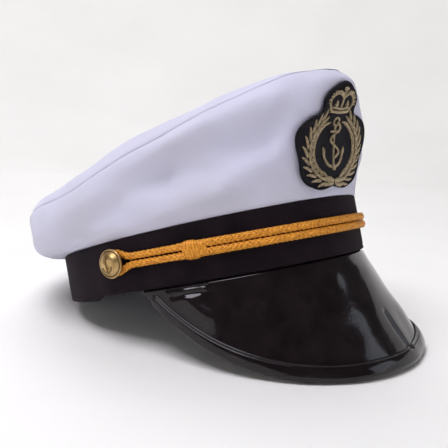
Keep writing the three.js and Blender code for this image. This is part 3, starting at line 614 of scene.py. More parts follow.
def makeStitchTree():  # small rounded stitches lie along a path
    sizes = {"Spacing": 0.002, "Length": 0.0015, "Width": 0.0005, "Height": 0.0005}
    tree, given = newTree("stitchTree", sizes)
    curve, _ = evenCurve(tree, given, given["Spacing"])
    tangent = tree.nodes.new("GeometryNodeInputTangent").outputs[0]
    along = addNode(tree, "FunctionNodeAlignRotationToVector", {"Vector": tangent}, axis="X").outputs[0]
    sockets = {"Rotation": along, "Vector": trait(tree, "lift", "FLOAT_VECTOR")}
    turned = addNode(tree, "FunctionNodeAlignRotationToVector", sockets, axis="Z",
                     pivot_axis="X").outputs[0]
    bead = addNode(tree, "GeometryNodeMeshIcoSphere", {"Radius": 0.5, "Subdivisions": 2}).outputs[0]
    sides = {0: given["Length"], 1: given["Width"], 2: given["Height"]}
    size = addNode(tree, "ShaderNodeCombineXYZ", sides)
    sockets = {"Points": curve, "Instance": bead, "Rotation": turned, "Scale": size.outputs[0]}
    return endTree(tree, given, addNode(tree, "GeometryNodeInstanceOnPoints", sockets).outputs[0])


def makeTubeTree():  # a plain tube whose radius follows the path
    tree, given = newTree("tubeTree", {"Step": 0.0004, "Sides": 8})
    curve, length = evenCurve(tree, given, given["Step"])
    curve = keepTrait(tree, curve, "along", length)
    return endTree(tree, given, tubeRound(tree, curve, 1.0, given["Sides"], trait(tree, "halfWidth")))


def pathHost(name, paths, closed=False, **traits):  # polylines with values at every point
    starts = np.cumsum([0] + [len(p) for p in paths])
    edges = []
    for first, after in zip(starts, starts[1:]):
        edges += [(i, i + 1) for i in range(first, after - 1)]
        if closed:
            edges.append((after - 1, first))
    mesh = bpy.data.meshes.new(name)
    mesh.from_pydata(np.concatenate(paths).tolist(), edges, [])
    for key, values in traits.items():
        values = np.concatenate(values).astype(np.float32)
        flat = values.ndim == 1
        layer = mesh.attributes.new(key, "FLOAT" if flat else "FLOAT_VECTOR", "POINT")
        layer.data.foreach_set("value" if flat else "vector", values.ravel())
    return linkObject(name, mesh)


def growMesh(name, host, tree, material, **sizes):  # run a tree on its paths and keep the plain mesh
    modifier = host.modifiers.new("grow", "NODES")
    modifier.node_group = tree
    labels = {label.lower().replace(" ", ""): label for label in sizes}
    for item in tree.interface.items_tree:
        if item.in_out == "INPUT" and item.name == "Finish":
            modifier[item.identifier] = material
        elif item.in_out == "INPUT" and item.name.lower().replace(" ", "") in labels:
            modifier[item.identifier] = sizes[labels[item.name.lower().replace(" ", "")]]
    evaluated = host.evaluated_get(bpy.context.evaluated_depsgraph_get())
    mesh = bpy.data.meshes.new_from_object(evaluated)
    mesh.name = name
    host.modifiers.remove(modifier)
    hostMesh = host.data
    bpy.data.objects.remove(host)
    bpy.data.meshes.remove(hostMesh)
    return mesh


def moveMesh(mesh, place):  # every vertex goes where place sends it
    spots = np.empty(len(mesh.vertices) * 3, np.float32)
    mesh.vertices.foreach_get("co", spots)
    mesh.vertices.foreach_set("co", place(spots.reshape(-1, 3).astype(float)).astype(np.float32).ravel())
    mesh.update()
    return mesh


def joinPieces(name, pieces):  # one object, with the first piece's materials and attributes
    with bpy.context.temp_override(active_object=pieces[0], selected_editable_objects=pieces,
                                   selected_objects=pieces, object=pieces[0]):
        bpy.ops.object.join()
    pieces[0].name = name
    pieces[0].data.name = name
    return pieces[0]


# White cloth crown

# soft dents and ridges: start angle and height share, end angle and height share,
# half width and way out
crownFolds = [
    (30, 0.44, 58, 0.44, 0.20, -0.100), (62, 0.52, 102, 0.20, 0.22, -0.072),
    (26, 0.28, 42, 0.18, 0.10, 0.032), (46, 0.15, 60, 0.12, 0.12, 0.022),
    (30, 0.82, 58, 0.84, 0.14, 0.022), (-5, 0.43, 5, 0.43, 0.27, -0.085),
    (-12, 0.87, 12, 0.87, 0.14, 0.030),
    (-34, 0.74, -62, 0.70, 0.20, -0.035), (-66, 0.66, -112, 0.50, 0.22, -0.050),
    (-28, 0.44, -56, 0.24, 0.14, 0.026), (128, 0.70, 168, 0.40, 0.20, -0.030),
    (-134, 0.42, -172, 0.68, 0.20, -0.028),
]
foldAspect = 38  # one wall height spans about this angle
sectionHandles = {  # shares at the front, the side and the back
    "lowReach": (0.139, 0.25, 0.4), "lowRise": (0.54, 0.3, -0.2),
    "highReach": (0.212, 0.04, 0.14), "highDrop": (0.23, 0.2, 0.3),
}
ringAngles = np.linspace(0, 2 * np.pi, crown["columns"], endpoint=False)


def foldOffset(theta, up):
    angle = np.degrees(np.arctan2(np.sin(theta), np.cos(theta)))
    out = np.zeros(np.broadcast(angle, up).shape)
    for fromAngle, fromUp, toAngle, toUp, halfWidth, amount in crownFolds:
        runAngle, runUp = (toAngle - fromAngle) / foldAspect, toUp - fromUp
        dAngle, dUp = (angle - fromAngle) / foldAspect, up - fromUp
        share = np.clip((dAngle * runAngle + dUp * runUp) / (runAngle ** 2 + runUp ** 2), 0, 1)
        away = np.hypot(dAngle - share * runAngle, dUp - share * runUp)
        out += amount * np.exp(-(away / halfWidth) ** 2)
    return out * smooth(up, 0, 0.15) * smooth(1 - up, 0, 0.15) * crown["frontRise"]


def crownOutward(theta):
    return vec(-np.sin(theta), -np.cos(theta), 0)


def seamPoint(theta):
    middle = (crown["backReach"] - crown["frontReach"]) / 2
    halfLength = (crown["backReach"] + crown["frontReach"]) / 2
    rise = roundTheCap(theta, crown["frontRise"], crown["sideRise"], crown["backRise"])
    rise = rise + smoothTable(capAngle(theta), crown["seamAngles"], crown["seamWaves"]) * crown["frontRise"]
    narrowed = 1 - crown["narrowing"] * np.maximum(np.cos(theta), 0) ** crown["sharpness"]
    return vec(-crown["halfWidth"] * np.sin(theta) * narrowed, middle - halfLength * np.cos(theta),
               band["frontHeight"] + rise)


def crownPoint(theta, up):
    theta, up = np.broadcast_arrays(np.asarray(theta, float), np.asarray(up, float))
    handle = {part: roundTheCap(theta, *shares) for part, shares in sectionHandles.items()}
    foot = bandPoint(theta, 0, bandTop(theta) + gap)
    seam = seamPoint(theta)
    height = seam[..., 2] - foot[..., 2]
    away = crownOutward(theta)
    low = foot + away * (handle["lowReach"] * crown["frontRise"])[..., None]
    low[..., 2] += handle["lowRise"] * height
    high = seam + away * (handle["highReach"] * crown["frontRise"])[..., None]
    high[..., 2] -= handle["highDrop"] * height
    t = up[..., None]
    p = foot * (1 - t) ** 3 + 3 * low * t * (1 - t) ** 2 + 3 * high * t ** 2 * (1 - t) + seam * t ** 3
    return p + away * foldOffset(theta, up)[..., None]


def atSeam(theta, distance):  # the cloth gathers a little and rolls in at the seam
    ring = vec(np.cos(theta) * 96, np.sin(theta) * 96, 0)
    ripple = softNoise(ring, 12, 8) + 0.5 * softNoise(ring, 8, 9)
    gather = crown["puckerDepth"] * ripple * np.exp(-distance / 6)
    roll = crown["seamDepth"] * np.exp(-distance / crown["seamRoll"])
    return crownOutward(theta) * (gather - roll)[..., None]


def distanceToLast(rows):  # length down each column, from the last row
    steps = np.linalg.norm(np.diff(rows, axis=0), axis=-1)
    down = np.cumsum(steps[::-1], 0)[::-1]
    return np.concatenate([down, np.zeros((1,) + down.shape[1:])])


def makeCrownWall(material):
    near = 1 - np.array([0.028, 0.021, 0.015, 0.010, 0.006, 0.003, 0.001, 0])
    ups = np.concatenate([np.linspace(0, 0.965, crown["rows"]), near])
    theta, up = np.meshgrid(ringAngles, ups)
    wall = crownPoint(theta, up)
    normal = gridNormals(wall, True)
    toSeam = distanceToLast(wall)
    toFoot = np.linalg.norm(wall - wall[:1], axis=-1)
    atBadge = smooth(np.cos(theta), 0.82, 0.93)
    free = smooth(toFoot, 0, 10) * smooth(toSeam, 0, 10) * (1 - 0.75 * atBadge)
    soft = crown["softness"] * free * (softNoise(wall * (1, 1, 1.6), 34, 3) + 0.45 * softNoise(wall, 15, 4))
    drag = 0.28 * np.exp(-toFoot / 7) * softNoise(vec(theta * 90, 0, toFoot * 0.2), 11, 6)
    outer = wall + normal * (soft + drag)[..., None] + atSeam(theta, toSeam)
    hemInset = -(band["wall"] + gap)
    hemHeights = [bandTop(ringAngles) - crown["hemDepth"] * share for share in (1, 0.5)]
    hemHeights.append(bandTop(ringAngles) + gap)
    hem = np.array([bandPoint(ringAngles, hemInset, h) for h in hemHeights])
    innerHem = np.array([bandPoint(ringAngles, hemInset - crown["wall"], h) for h in hemHeights])
    innerWall = wall - normal * crown["wall"]
    innerWall[-1] = wall[-1] - crownOutward(ringAngles) * crown["wall"] * 1.6
    innerWall[..., 2] = np.minimum(innerWall[..., 2], innerWall[-1, :, 2])
    outerRows = np.concatenate([hem, outer])
    innerRows = np.concatenate([innerHem, innerWall])
    piece = shellObject("crownWallCloth", toFrame(outerRows), toFrame(innerRows), True, material)
    return finishPiece(piece, "white_cloth", "crown_side")


def panelPoint(theta, share):
    seam = seamPoint(theta)
    middle = (crown["backReach"] - crown["frontReach"]) / 2
    heights = seamPoint(np.array([0, np.pi / 2, np.pi]))[:, 2]
    middleRise = (heights[0] + 2 * heights[1] + heights[2]) / 4
    edgeRise = smoothTable(capAngle(theta), panel["angles"], panel["shares"]) * panel["sideRise"]
    rise = mix(panel["middleRise"], edgeRise, share) * (1 - share ** panel["fullness"])
    height = mix(middleRise, seam[..., 2], share) + rise + panel["seamGap"]
    return vec(seam[..., 0] * share, mix(middle, seam[..., 1], share), height)


def makeCrownPanel(material):
    near = 1 - np.array([0, 0.0012, 0.003, 0.0055, 0.009, 0.014, 0.02, 0.028])
    shares = np.concatenate([near, 1 - np.linspace(0.045, 0.985, panel["rings"]) ** 1.1])
    theta, share = np.meshgrid(ringAngles, shares)
    top = panelPoint(theta, share)
    normal = gridNormals(top, True)
    toSeam = distanceToLast(top[::-1])[::-1]
    waves = softNoise(top, 60, 21) + 0.4 * softNoise(top, 24, 22)
    soft = panel["softness"] * smooth(toSeam, 0, 14) * waves
    outer = top + normal * soft[..., None] + atSeam(theta, toSeam)
    inner = top - normal * crown["wall"]
    inner[0] = top[0] - crownOutward(ringAngles) * crown["wall"] * 1.6
    inner[..., 2] = np.where(share > 0.85, np.maximum(inner[..., 2], inner[0][:, 2]), inner[..., 2])
    poles = [outer[-1].mean(0), inner[-1].mean(0)]
    piece = lensObject("crownPanelCloth", outer, inner, poles, toFrame, material)
    return finishPiece(piece, "white_cloth", "crown_top")


# Black cloth band

def makeHeadBand(material):
    low, high, r = bandBottom(ringAngles), bandTop(ringAngles), band["edgeRound"]
    turns = np.linspace(0, np.pi / 2, 5)
    rows = [(-r + r * math.sin(a), low + r - r * math.cos(a)) for a in turns]
    for share in np.linspace(0, 1, band["rows"])[1:-1]:
        rows.append((0, mix(low + r, high - r, share ** 1.6)))
    rows += [(-r + r * math.cos(a), high - r + r * math.sin(a)) for a in turns]
    wave = band["waviness"] * softNoise(bandPoint(ringAngles, 0, 0), 46, 31)
    outer, inner = [], []
    for out, z in rows:
        hem = band["hemDepth"] * np.exp(-((z - low - band["hemUp"]) / 0.5) ** 2)
        outer.append(bandPoint(ringAngles, out + wave - hem, z))
        inner.append(bandPoint(ringAngles, -band["wall"] - out + wave, z))
    outer, inner = toFrame(np.array(outer)), toFrame(np.array(inner))
    for rowsOfPoints in (outer, inner):  # the back of the band lies flat on the surface
        rowsOfPoints[..., 2] = np.maximum(rowsOfPoints[..., 2], 0)
    piece = shellObject("headBandCloth", outer, inner, True, material)
    return finishPiece(piece, "black_cloth", "hat_band")


# Glossy peak and its folded border

peak = {
    "length": 67.6, "endAngle": 75, "frontDrop": 65.5, "endDrop": 86, "wall": 2.0, "rootDepth": 7,
    "rootRoll": 1, "outline": 2.2, "columns": 280, "rows": 48, "acrossScale": 122,
}
# creases and bumps: start across and distance, end across and distance, half width, height
peakDents = [
    (0.875, 1.2, 0.71, 1.8, 1.3, -0.7), (0.85, 5.5, 0.73, 5.0, 1.5, -0.7),
    (0.80, 8.0, 0.72, 18.0, 4.0, 0.8), (-0.095, 39.0, -0.10, 61.0, 1.6, -1.2),
    (-0.35, 44.0, -0.35, 60.0, 13.0, 1.8), (-0.20, 46.0, -0.17, 62.0, 7.0, -0.5),
]


def peakPoint(across, distance):
    theta = math.radians(peak["endAngle"]) * across
    drop = np.radians(mix(peak["frontDrop"], peak["endDrop"], across * across))
    root = bandPoint(theta, -band["wall"] / 2, -gap)
    out = bandOutward(theta) * (distance * np.cos(drop))[..., None]
    return root + out - vec(0, 0, distance * np.sin(drop))


def peakNormal(across, distance):
    along = peakPoint(across, distance + 0.5) - peakPoint(across, distance)
    over = peakPoint(across + 0.01, distance) - peakPoint(across - 0.01, distance)
    return unit(np.cross(over, along))


def rimDistance(across):
    reach = peak["length"] * (1 - np.abs(across) ** peak["outline"])
    return peak["rootRoll"] + np.maximum(reach, peak["rootRoll"])


def peakDent(across, distance):
    out = 0.35 * softNoise(vec(across * peak["acrossScale"], distance, 0), 30, 41) * smooth(distance, 2, 12)
    for fromAcross, fromDistance, toAcross, toDistance, halfWidth, height in peakDents:
        run = np.array([(toAcross - fromAcross) * peak["acrossScale"], toDistance - fromDistance])
        dx, dy = (across - fromAcross) * peak["acrossScale"], distance - fromDistance
        share = np.clip((dx * run[0] + dy * run[1]) / (run @ run), 0, 1)
        away = np.hypot(dx - share * run[0], dy - share * run[1])
        out = out + height * np.exp(-(away / halfWidth) ** 2)
    return out


def makePeak(material):
    across = np.linspace(-1, 1, peak["columns"])
    rootInset = -(band["wall"] + gap)
    theta = math.radians(peak["endAngle"]) * across
    shares = np.linspace(1, 0, peak["rows"]) ** 1.2
    u, share = np.meshgrid(across, shares)
    distance = mix(peak["rootRoll"], rimDistance(u), share)
    face = peakPoint(u, distance) + peakNormal(u, distance) * peakDent(u, distance)[..., None]
    roots = [bandPoint(theta, rootInset, z) for z in (-gap, peak["rootDepth"] / 2, peak["rootDepth"])]
    outer = np.concatenate([face, roots])
    normal = gridNormals(outer, False)
    inner = outer - normal * peak["wall"]
    piece = shellObject("peakShell", toFrame(outer), toFrame(inner), False, material)
    return finishPiece(piece, "gloss_black", "peak")


border = {
    "width": 8, "wall": 1.1, "setBack": 3, "endShare": 0.95, "clear": 0.4, "columns": 300,
    "lip": 2.4, "puff": 0.35, "edgeRound": 1.0, "channelIn": 1.7, "channelDepth": 0.4, "channelWidth": 0.4,
}

stitches = {"spacing": 0.0026, "length": 0.0020, "width": 0.0006, "height": 0.0006}  # metres


def borderSection(across):  # the strip's outside and inside, from below, over the lip, to its top edge
    reach = rimDistance(across)
    cover = np.minimum(border["width"], reach - border["setBack"])
    top = border["clear"] + border["wall"]
    under = -(peak["wall"] + top)
    lipOut = reach + top
    innerEdge = reach - cover
    middle, half = (top + under) / 2, (top - under) / 2
    outside, inside = [], []
    for s in np.linspace(0, 1, 12, endpoint=False):
        round0 = border["edgeRound"] * (1 - math.sqrt(1 - max(0, 1 - s * 6) ** 2))
        outside.append((mix(innerEdge, lipOut - border["lip"], s), under + round0))
        inside.append((mix(innerEdge, reach - 0.2, s), -(peak["wall"] + border["clear"]) + 0 * reach))
    for a in np.linspace(-np.pi / 2, np.pi / 2, 17):
        outside.append((lipOut - border["lip"] + border["lip"] * math.cos(a), middle + half * math.sin(a)))
        height = mix(-peak["wall"] - border["clear"], border["clear"], 0.5 + 0.5 * math.sin(a))
        inside.append((reach - 0.2 + 0.6 * math.cos(a), height + 0 * reach))
    for s in np.linspace(0, 1, 40)[1:]:
        distance = mix(lipOut - border["lip"], innerEdge, s)
        fromEdge = distance - innerEdge
        near = np.clip(1 - fromEdge / border["edgeRound"], 0, 1)
        height = top + border["puff"] * math.sin(np.pi * min(s * 1.15, 1)) - border["edgeRound"] * (
            1 - np.sqrt(1 - near ** 2))
        height = height - border["channelDepth"] * np.exp(
            -((fromEdge - border["channelIn"]) / border["channelWidth"]) ** 2)
        outside.append((distance, height))
        inside.append((mix(reach - 0.2, innerEdge, s), border["clear"] + 0 * reach))
    return outside, inside


def onPeak(across, distance, above):
    held = np.minimum(distance, rimDistance(across))
    normal = peakNormal(across, held)
    return peakPoint(across, distance) + normal * (above + peakDent(across, held))[..., None]


def makePeakBorder(material):
    across = np.linspace(-border["endShare"], border["endShare"], border["columns"])
    outside, inside = borderSection(across)
    outer = np.array([onPeak(across, d, a) for d, a in outside])
    inner = np.array([onPeak(across, d, a) for d, a in inside])
    piece = shellObject("peakBorder", toFrame(outer), toFrame(inner), False, material)
    return finishPiece(piece, "gloss_black", "peak_binding")


def makeBorderStitches(tree, material):  # sewn through the strip, in its shallow channel
    across = np.linspace(-0.93, 0.93, 400)
    cover = np.minimum(border["width"], rimDistance(across) - border["setBack"])
    distance = rimDistance(across) - cover + border["channelIn"]
    line = onPeak(across, distance, border["clear"] + border["wall"] - 0.12)
    lift = toFrame(line + peakNormal(across, distance)) - toFrame(line)
    host = pathHost("stitchLine", [toFrame(line)], lift=[unit(lift)])
    mesh = growMesh("peakStitches", host, tree, material, **stitches)
    return finishPiece(linkObject("peakStitches", mesh), "gloss_black")


# Gold cord, slide knots and buttons

cord = {"diameter": 4.3, "height": 17, "startClear": 0.3, "pressed": 0.72}
knot = {
    "angle": 54, "length": 13, "height": 10.6, "depth": 7.6, "approach": 12, "pitch": 1.42, "thread": 0.86,
    "lean": 0.16,
    "along": [-0.5, -0.42, -0.3, 0, 0.14, 0.2, 0.28, 0.42, 0.5],  # from the button's side to the front
    "wide": [0.72, 0.9, 1.0, 1.0, 0.92, 0.78, 0.76, 0.76, 0.66],
}
button = {
    "angle": 82.5, "diameter": 16, "rim": 1.3, "dome": 3.2, "domeShare": 0.86, "shank": 3.2, "columns": 144,
}
strandRadius = cord["diameter"] / 2
bandRadius = (band["halfWidth"] + band["halfLength"]) / 2
loopRadius = button["diameter"] / 2 - strandRadius - 2 * gap
# the loop of cord behind a button, by shares of its radius: ahead and aside
buttonLoop = [(2.8, 0.42), (1.8, 0.45), (1.05, 0.72), (0.4, 0.98), (-0.3, 0.98), (-0.8, 0.66)]


def cordStandOff(angle):
    nearKnot = smooth(1 - np.abs(np.abs(angle) - knot["angle"]) / knot["approach"], 0, 1)
    return strandRadius + gap + (knot["depth"] / 2 - strandRadius) * nearKnot


def cordPoint(angle, side):
    angle = np.asarray(angle, float)
    return bandPoint(np.radians(angle), cordStandOff(angle), cord["height"] + np.asarray(side, float))


def pressOnBand(points):  # the cord and its knots lie a little flattened against the band
    p = fromFrame(points)
    theta = np.arctan2(-p[:, 0] / band["halfWidth"], -p[:, 1] / band["halfLength"])
    out = bandOutward(theta)
    away = np.sum((p - bandPoint(theta, 0, p[:, 2])) * out, -1)
    return toFrame(p - out * ((away - gap) * (1 - cord["pressed"]))[:, None])


def cordRoute():  # one length: behind the left shank, above, round the right shank, below, back
    turn = lambda length: math.degrees(length / bandRadius)
    spread = strandRadius + gap / 2
    outward = [(button["angle"] - turn(ahead * loopRadius), side * loopRadius)
               for ahead, side in buttonLoop]
    firstLoop = outward[0][0]
    crossing = [(mix(-firstLoop, firstLoop, i / 14), spread) for i in range(1, 14)]
    above = [(-angle, side) for angle, side in outward][::-1] + crossing + outward
    behind = button["angle"] + turn(loopRadius)
    below = [(angle, -side) for angle, side in above][::-1]
    clear = cord["startClear"]
    route = [(-behind, clear)] + above + [(behind, 0)] + below + [(-behind, -clear)]
    return smoothPath([cordPoint(angle, side) for angle, side in route], 24)


def makeCord(tree, material):
    route = cordRoute()
    angle = np.degrees(np.arctan2(-route[:, 0] / band["halfWidth"], -route[:, 1] / band["halfLength"]))
    thin = 1 - 0.12 * smooth(np.abs(angle), knot["angle"] + 2, knot["angle"] + 8)
    host = pathHost("cordRoute", [toFrame(route)], thickness=[thin])
    mesh = moveMesh(growMesh("goldCord", host, tree, material), pressOnBand)
    return finishPiece(linkObject("goldCord", mesh), "gold_braid", "cord")


def makeKnot(tree, material, side, name, node):
    share = np.linspace(-0.5, 0.5, 60)
    angle = side * (knot["angle"] - np.degrees(share * (knot["length"] - 2 * knot["thread"]) / bandRadius))
    width = np.interp(share, knot["along"], knot["wide"])
    axis = cordPoint(angle, 0 * angle)
    lift = toFrame(axis + bandOutward(np.radians(angle))) - toFrame(axis)
    halfWidth = (width * knot["height"] / 2 - knot["thread"]) * mm
    halfDepth = (width * knot["depth"] / 2 - knot["thread"]) * mm
    host = pathHost(name, [toFrame(axis)], lift=[unit(lift)], halfWidth=[halfWidth], halfDepth=[halfDepth])
    mesh = growMesh(name, host, tree, material, pitch=knot["pitch"] * mm, threadRadius=knot["thread"] * mm,
                    steps=26, lean=side * knot["lean"], sides=10)
    moveMesh(mesh, pressOnBand)
    return finishPiece(linkObject(name, mesh), "gold_braid", node)


def domeHeight(radius):  # height of the button's face above the band, by the distance from its middle
    r = np.asarray(radius) / (button["diameter"] / 2)
    underside = cord["diameter"] + 3 * gap
    foot = underside + button["rim"] * 0.8
    top = underside + button["rim"] + button["dome"]
    edge = button["domeShare"]
    coefficients = np.polyfit([0, 0.32, 0.62, edge], [1, 0.92, 0.62, 0], 3)
    return np.where(r < edge, foot + (top - foot) * np.polyval(coefficients, np.minimum(r, edge)), foot)


def buttonFrame(angle):
    theta = math.radians(angle)
    out = bandOutward(theta)
    basis = np.array([np.cross((0, 0, 1), out), (0, 0, 1), out])
    return basis, bandPoint(theta, 0, cord["height"])


def anchorLines(height, halfWidth):  # a generic fouled anchor: shank, stock, arms, ring and rope
    t = np.linspace(0, 1, 25)
    arm = smoothPath([(0, 0), (0.5, 0.16), (0.86, 0.56), (1, 1)], 8)
    ringTurn = t * 2 * np.pi
    ring = 0.124 * 2 * halfWidth
    stockUp, stockHalf = 0.78 * height, 0.21 * 2 * halfWidth
    rope = np.linspace(0, 1, 60)
    swing = 0.208 * 2 * halfWidth * np.sin(rope * 3 * np.pi)
    lines = {
        "shank": np.stack([0 * t, mix(0, height - ring, t)], -1),
        "stock": np.stack([mix(-stockHalf, stockHalf, t), stockUp + 0 * t], -1),
        "ring": np.stack([ring * np.sin(ringTurn), height - ring * np.cos(ringTurn)], -1),
        "rope": np.stack([swing, mix(height, 0.2 * height, rope)], -1),
        "rightArm": arm * halfWidth,
        "leftArm": arm * (-halfWidth, halfWidth),
    }
    return lines


buttonAnchor = {"height": 9.4, "halfWidth": 3.1, "drop": 4.6, "thread": 0.42, "rope": 0.27, "rise": 0.12}


def markRecess(mesh, values):  # how dark the brass is at each point
    layer = mesh.attributes.new("recess", "FLOAT", "POINT")
    layer.data.foreach_set("value", np.asarray(values, np.float32))


def makeButton(tree, material, angle, name, node):
    basis, origin = buttonFrame(angle)
    place = lambda p: toFrame(origin + p @ basis)
    underside, radius = cord["diameter"] + 3 * gap, button["diameter"] / 2
    rimTop = underside + button["rim"]
    profile = [(0, gap), (button["shank"] / 2, gap), (button["shank"] / 2, underside - 0.3),
               (button["shank"] / 2 + 0.5, underside), (radius - 0.7, underside)]
    rimTurn = np.linspace(-np.pi / 2, np.pi / 2, 9)
    profile += [(radius - 0.65 + 0.65 * math.cos(a), underside + button["rim"] / 2 * (1 + math.sin(a)))
                for a in rimTurn]
    profile += [(radius - 0.95, rimTop - 0.05), (radius - 1.15, float(domeHeight(radius)) + 0.02)]
    shares = np.linspace(button["domeShare"], 0.02, 26)
    profile += [(r, float(domeHeight(r))) for r in shares * radius]
    profile = np.array(profile)
    turn = np.linspace(0, 2 * np.pi, button["columns"], endpoint=False)
    ring = np.stack([np.cos(turn), np.sin(turn)], -1)
    notch = 1 - 0.006 * np.cos(turn * button["columns"] / 3)
    rows = []
    for r, h in profile[1:]:
        onRim = r > radius - 0.7 and h > underside + 0.05
        reach = r * (notch if onRim else 1)
        rows.append(np.concatenate([ring * np.reshape(reach, (-1, 1)), np.full((len(turn), 1), h)], 1))
    rows = np.array(rows)
    columns = len(turn)
    points = np.concatenate([rows.reshape(-1, 3), [[0, 0, profile[0][1]], [0, 0, float(domeHeight(0))]]])
    i = np.arange(columns)
    k = (i + 1) % columns
    last = (len(rows) - 1) * columns
    faces = gridFaces(len(rows), columns, False, True)[:, ::-1].tolist()
    faces += np.stack([i, np.full(columns, len(points) - 2), k], -1).tolist()
    faces += np.stack([last + i, last + k, np.full(columns, len(points) - 1)], -1).tolist()
    body = meshObject(name, place(points), faces, material)
    away = np.hypot(points[:, 0], points[:, 1]) / radius
    hollow = 0.75 * np.exp(-((away - 0.875) / 0.03) ** 2) + 0.12
    markRecess(body.data, hollow)
    lines = anchorLines(buttonAnchor["height"], buttonAnchor["halfWidth"])
    paths, widths = [], []
    for part, line in lines.items():
        thin = buttonAnchor["rope"] if part == "rope" else buttonAnchor["thread"]
        line = line - (0, buttonAnchor["drop"])
        paths.append(np.concatenate([line, np.zeros((len(line), 1))], 1) * mm)
        widths.append(np.full(len(line), thin * mm))
    host = pathHost("reliefPaths", paths, halfWidth=widths)
    relief = growMesh(name + "Relief", host, tree, material, step=0.0003, sides=8)

    def ontoDome(p):
        p = p / mm
        height = domeHeight(np.hypot(p[:, 0], p[:, 1])) + buttonAnchor["rise"] + p[:, 2] * 0.9
        return place(np.stack([p[:, 0], p[:, 1], height], -1))

    moveMesh(relief, ontoDome)
    markRecess(relief, np.full(len(relief.vertices), 0.55))
    whole = joinPieces(name, [body, linkObject(name + "Relief", relief)])
    return finishPiece(whole, "brass", node)


# Embroidered badge, made flat and laid on the front of the crown

badge = {
    "width": 60, "height": 57, "wall": 1.4, "aboveBand": 5.2, "clear": 0.7, "steps": 220, "rings": 16,
    "middleUp": 0.42, "edge": 1.0, "edgePitch": 0.55, "lobes": 0.55,
    "ups": [0.02, 0.005, 0.04, 0.107, 0.18, 0.32, 0.45, 0.55, 0.62, 0.68, 0.72, 0.78, 0.86, 0.94, 1],
    "halves": [0, 0.36, 0.62, 0.78, 0.86, 0.93, 1, 0.99, 0.88, 0.68, 0.5, 0.45, 0.46, 0.34, 0],
    "stiffness": 0.0016,  # the patch stands off where the crown turns away
}
measure = {"steps": 24, "widest": 40}


def measureFront():
    shares = np.linspace(0, 1, measure["steps"] + 1)
    turns = np.radians(measure["widest"]) * shares
    up = lengthsAlong(crownPoint(0 * shares, shares))
    around = [lengthsAlong(crownPoint(turns, np.full(len(turns), share))) for share in shares]
    return up, np.array(around)


lengthsUp, lengthsRound = measureFront()


def frontPoint(across, up, outward):  # by the lengths across from the middle and up from the band
    steps = measure["steps"]
    row = np.interp(up, lengthsUp, np.arange(steps + 1))
    turns = np.array([np.interp(np.abs(across), lengths, np.arange(steps + 1)) for lengths in lengthsRound])
    low = np.clip(np.floor(row).astype(int), 0, steps)
    high = np.clip(low + 1, 0, steps)
    pick = np.arange(len(row))
    turn = mix(turns[low, pick], turns[high, pick], row - low) / steps
    theta = -np.sign(across) * turn * math.radians(measure["widest"])
    share = row / steps
    ahead = crownPoint(theta + 0.02, share) - crownPoint(theta - 0.02, share)
    rising = crownPoint(theta, share + 0.02) - crownPoint(theta, share - 0.02)
    return crownPoint(theta, share) + unit(np.cross(rising, ahead)) * np.asarray(outward)[..., None]


def onBadge(p):  # flat millimetres (across, up, out) to the frame
    outward = badge["clear"] + p[:, 2] + badge["stiffness"] * p[:, 0] ** 2
    return toFrame(frontPoint(p[:, 0], badge["aboveBand"] + p[:, 1], outward))


def badgeOutline():
    right = np.stack([badge["halves"], badge["ups"]], -1) * (badge["width"] / 2, badge["height"])
    left = right[1:-1][::-1] * (-1, 1)
    line = smoothPath(np.concatenate([right, left]), 24, closed=True)
    whole = np.concatenate([line, line[:1]])
    length = lengthsAlong(whole)
    at = np.linspace(0, length[-1], badge["steps"], endpoint=False)
    even = np.stack([np.interp(at, length, whole[:, k]) for k in (0, 1)], -1)
    outward = np.roll(even, -1, 0) - np.roll(even, 1, 0)
    outward = unit(np.stack([outward[:, 1], -outward[:, 0]], -1))
    lobes = np.abs(np.sin(np.linspace(0, 11 * np.pi, badge["steps"], endpoint=False)))
    inset = badge["lobes"] * (1 - lobes) - badge["edge"] * 0.2
    return even - outward * inset[:, None]


def makePatch(material):
    outline = badgeOutline()
    middle = np.array([0, badge["middleUp"] * badge["height"]])
    flat = np.array([mix(middle, outline, share) for share in np.linspace(1, 0.05, badge["rings"])])
    front = np.concatenate([flat, np.full(flat.shape[:2] + (1,), badge["wall"])], -1)
    back = np.concatenate([flat, np.zeros(flat.shape[:2] + (1,))], -1)
    poles = [[*middle, badge["wall"]], [*middle, 0]]
    piece = lensObject("badgePatch", front, back, poles, onBadge, material, flip=True)
    return finishPiece(piece, "dark_felt", "badge_patch")


def flatHost(name, lines, closed=False):  # lines: (points, half width, half depth, height) in millimetres
    paths, wide, deep, up = [], [], [], []
    for line, halfWidth, halfDepth, height in lines:
        n = len(line)
        paths.append(np.concatenate([line, np.broadcast_to(height, (n,))[:, None]], 1) * mm)
        wide.append(np.broadcast_to(halfWidth, (n,)) * mm)
        deep.append(np.broadcast_to(halfDepth, (n,)) * mm)
        up.append(np.broadcast_to((0.0, 0.0, 1.0), (n, 3)))
    return pathHost(name, paths, closed, halfWidth=wide, halfDepth=deep, lift=up)


def embroider(name, tree, material, slot, lines, node=None, closed=False, **sizes):
    mesh = growMesh(name, flatHost(name, lines, closed), tree, material, **sizes)
    moveMesh(mesh, lambda p: onBadge(p / mm))
    piece = linkObject(name, mesh)
    return finishPiece(piece, slot, *([node] if node else []))


wreath = {
    "footTurn": 172, "tipTurn": 28, "reach": 0.36, "squash": 0.87, "middleUp": 0.375,
    "leaves": 11, "leafLength": 7.6, "leafWidth": 1.75, "lean": 24, "stem": 0.3, "rowStep": 1.5,
}
threads = {"pitch": 0.0005, "threadRadius": 0.00027, "underside": 0.15, "steps": 10}


def wreathPoint(side, share):
    turn = np.radians(mix(wreath["footTurn"], wreath["tipTurn"], share))
    radius = wreath["reach"] * badge["width"]
    up = wreath["middleUp"] * badge["height"] + wreath["squash"] * radius * np.cos(turn)
    return np.stack([side * radius * np.sin(turn), up], -1)


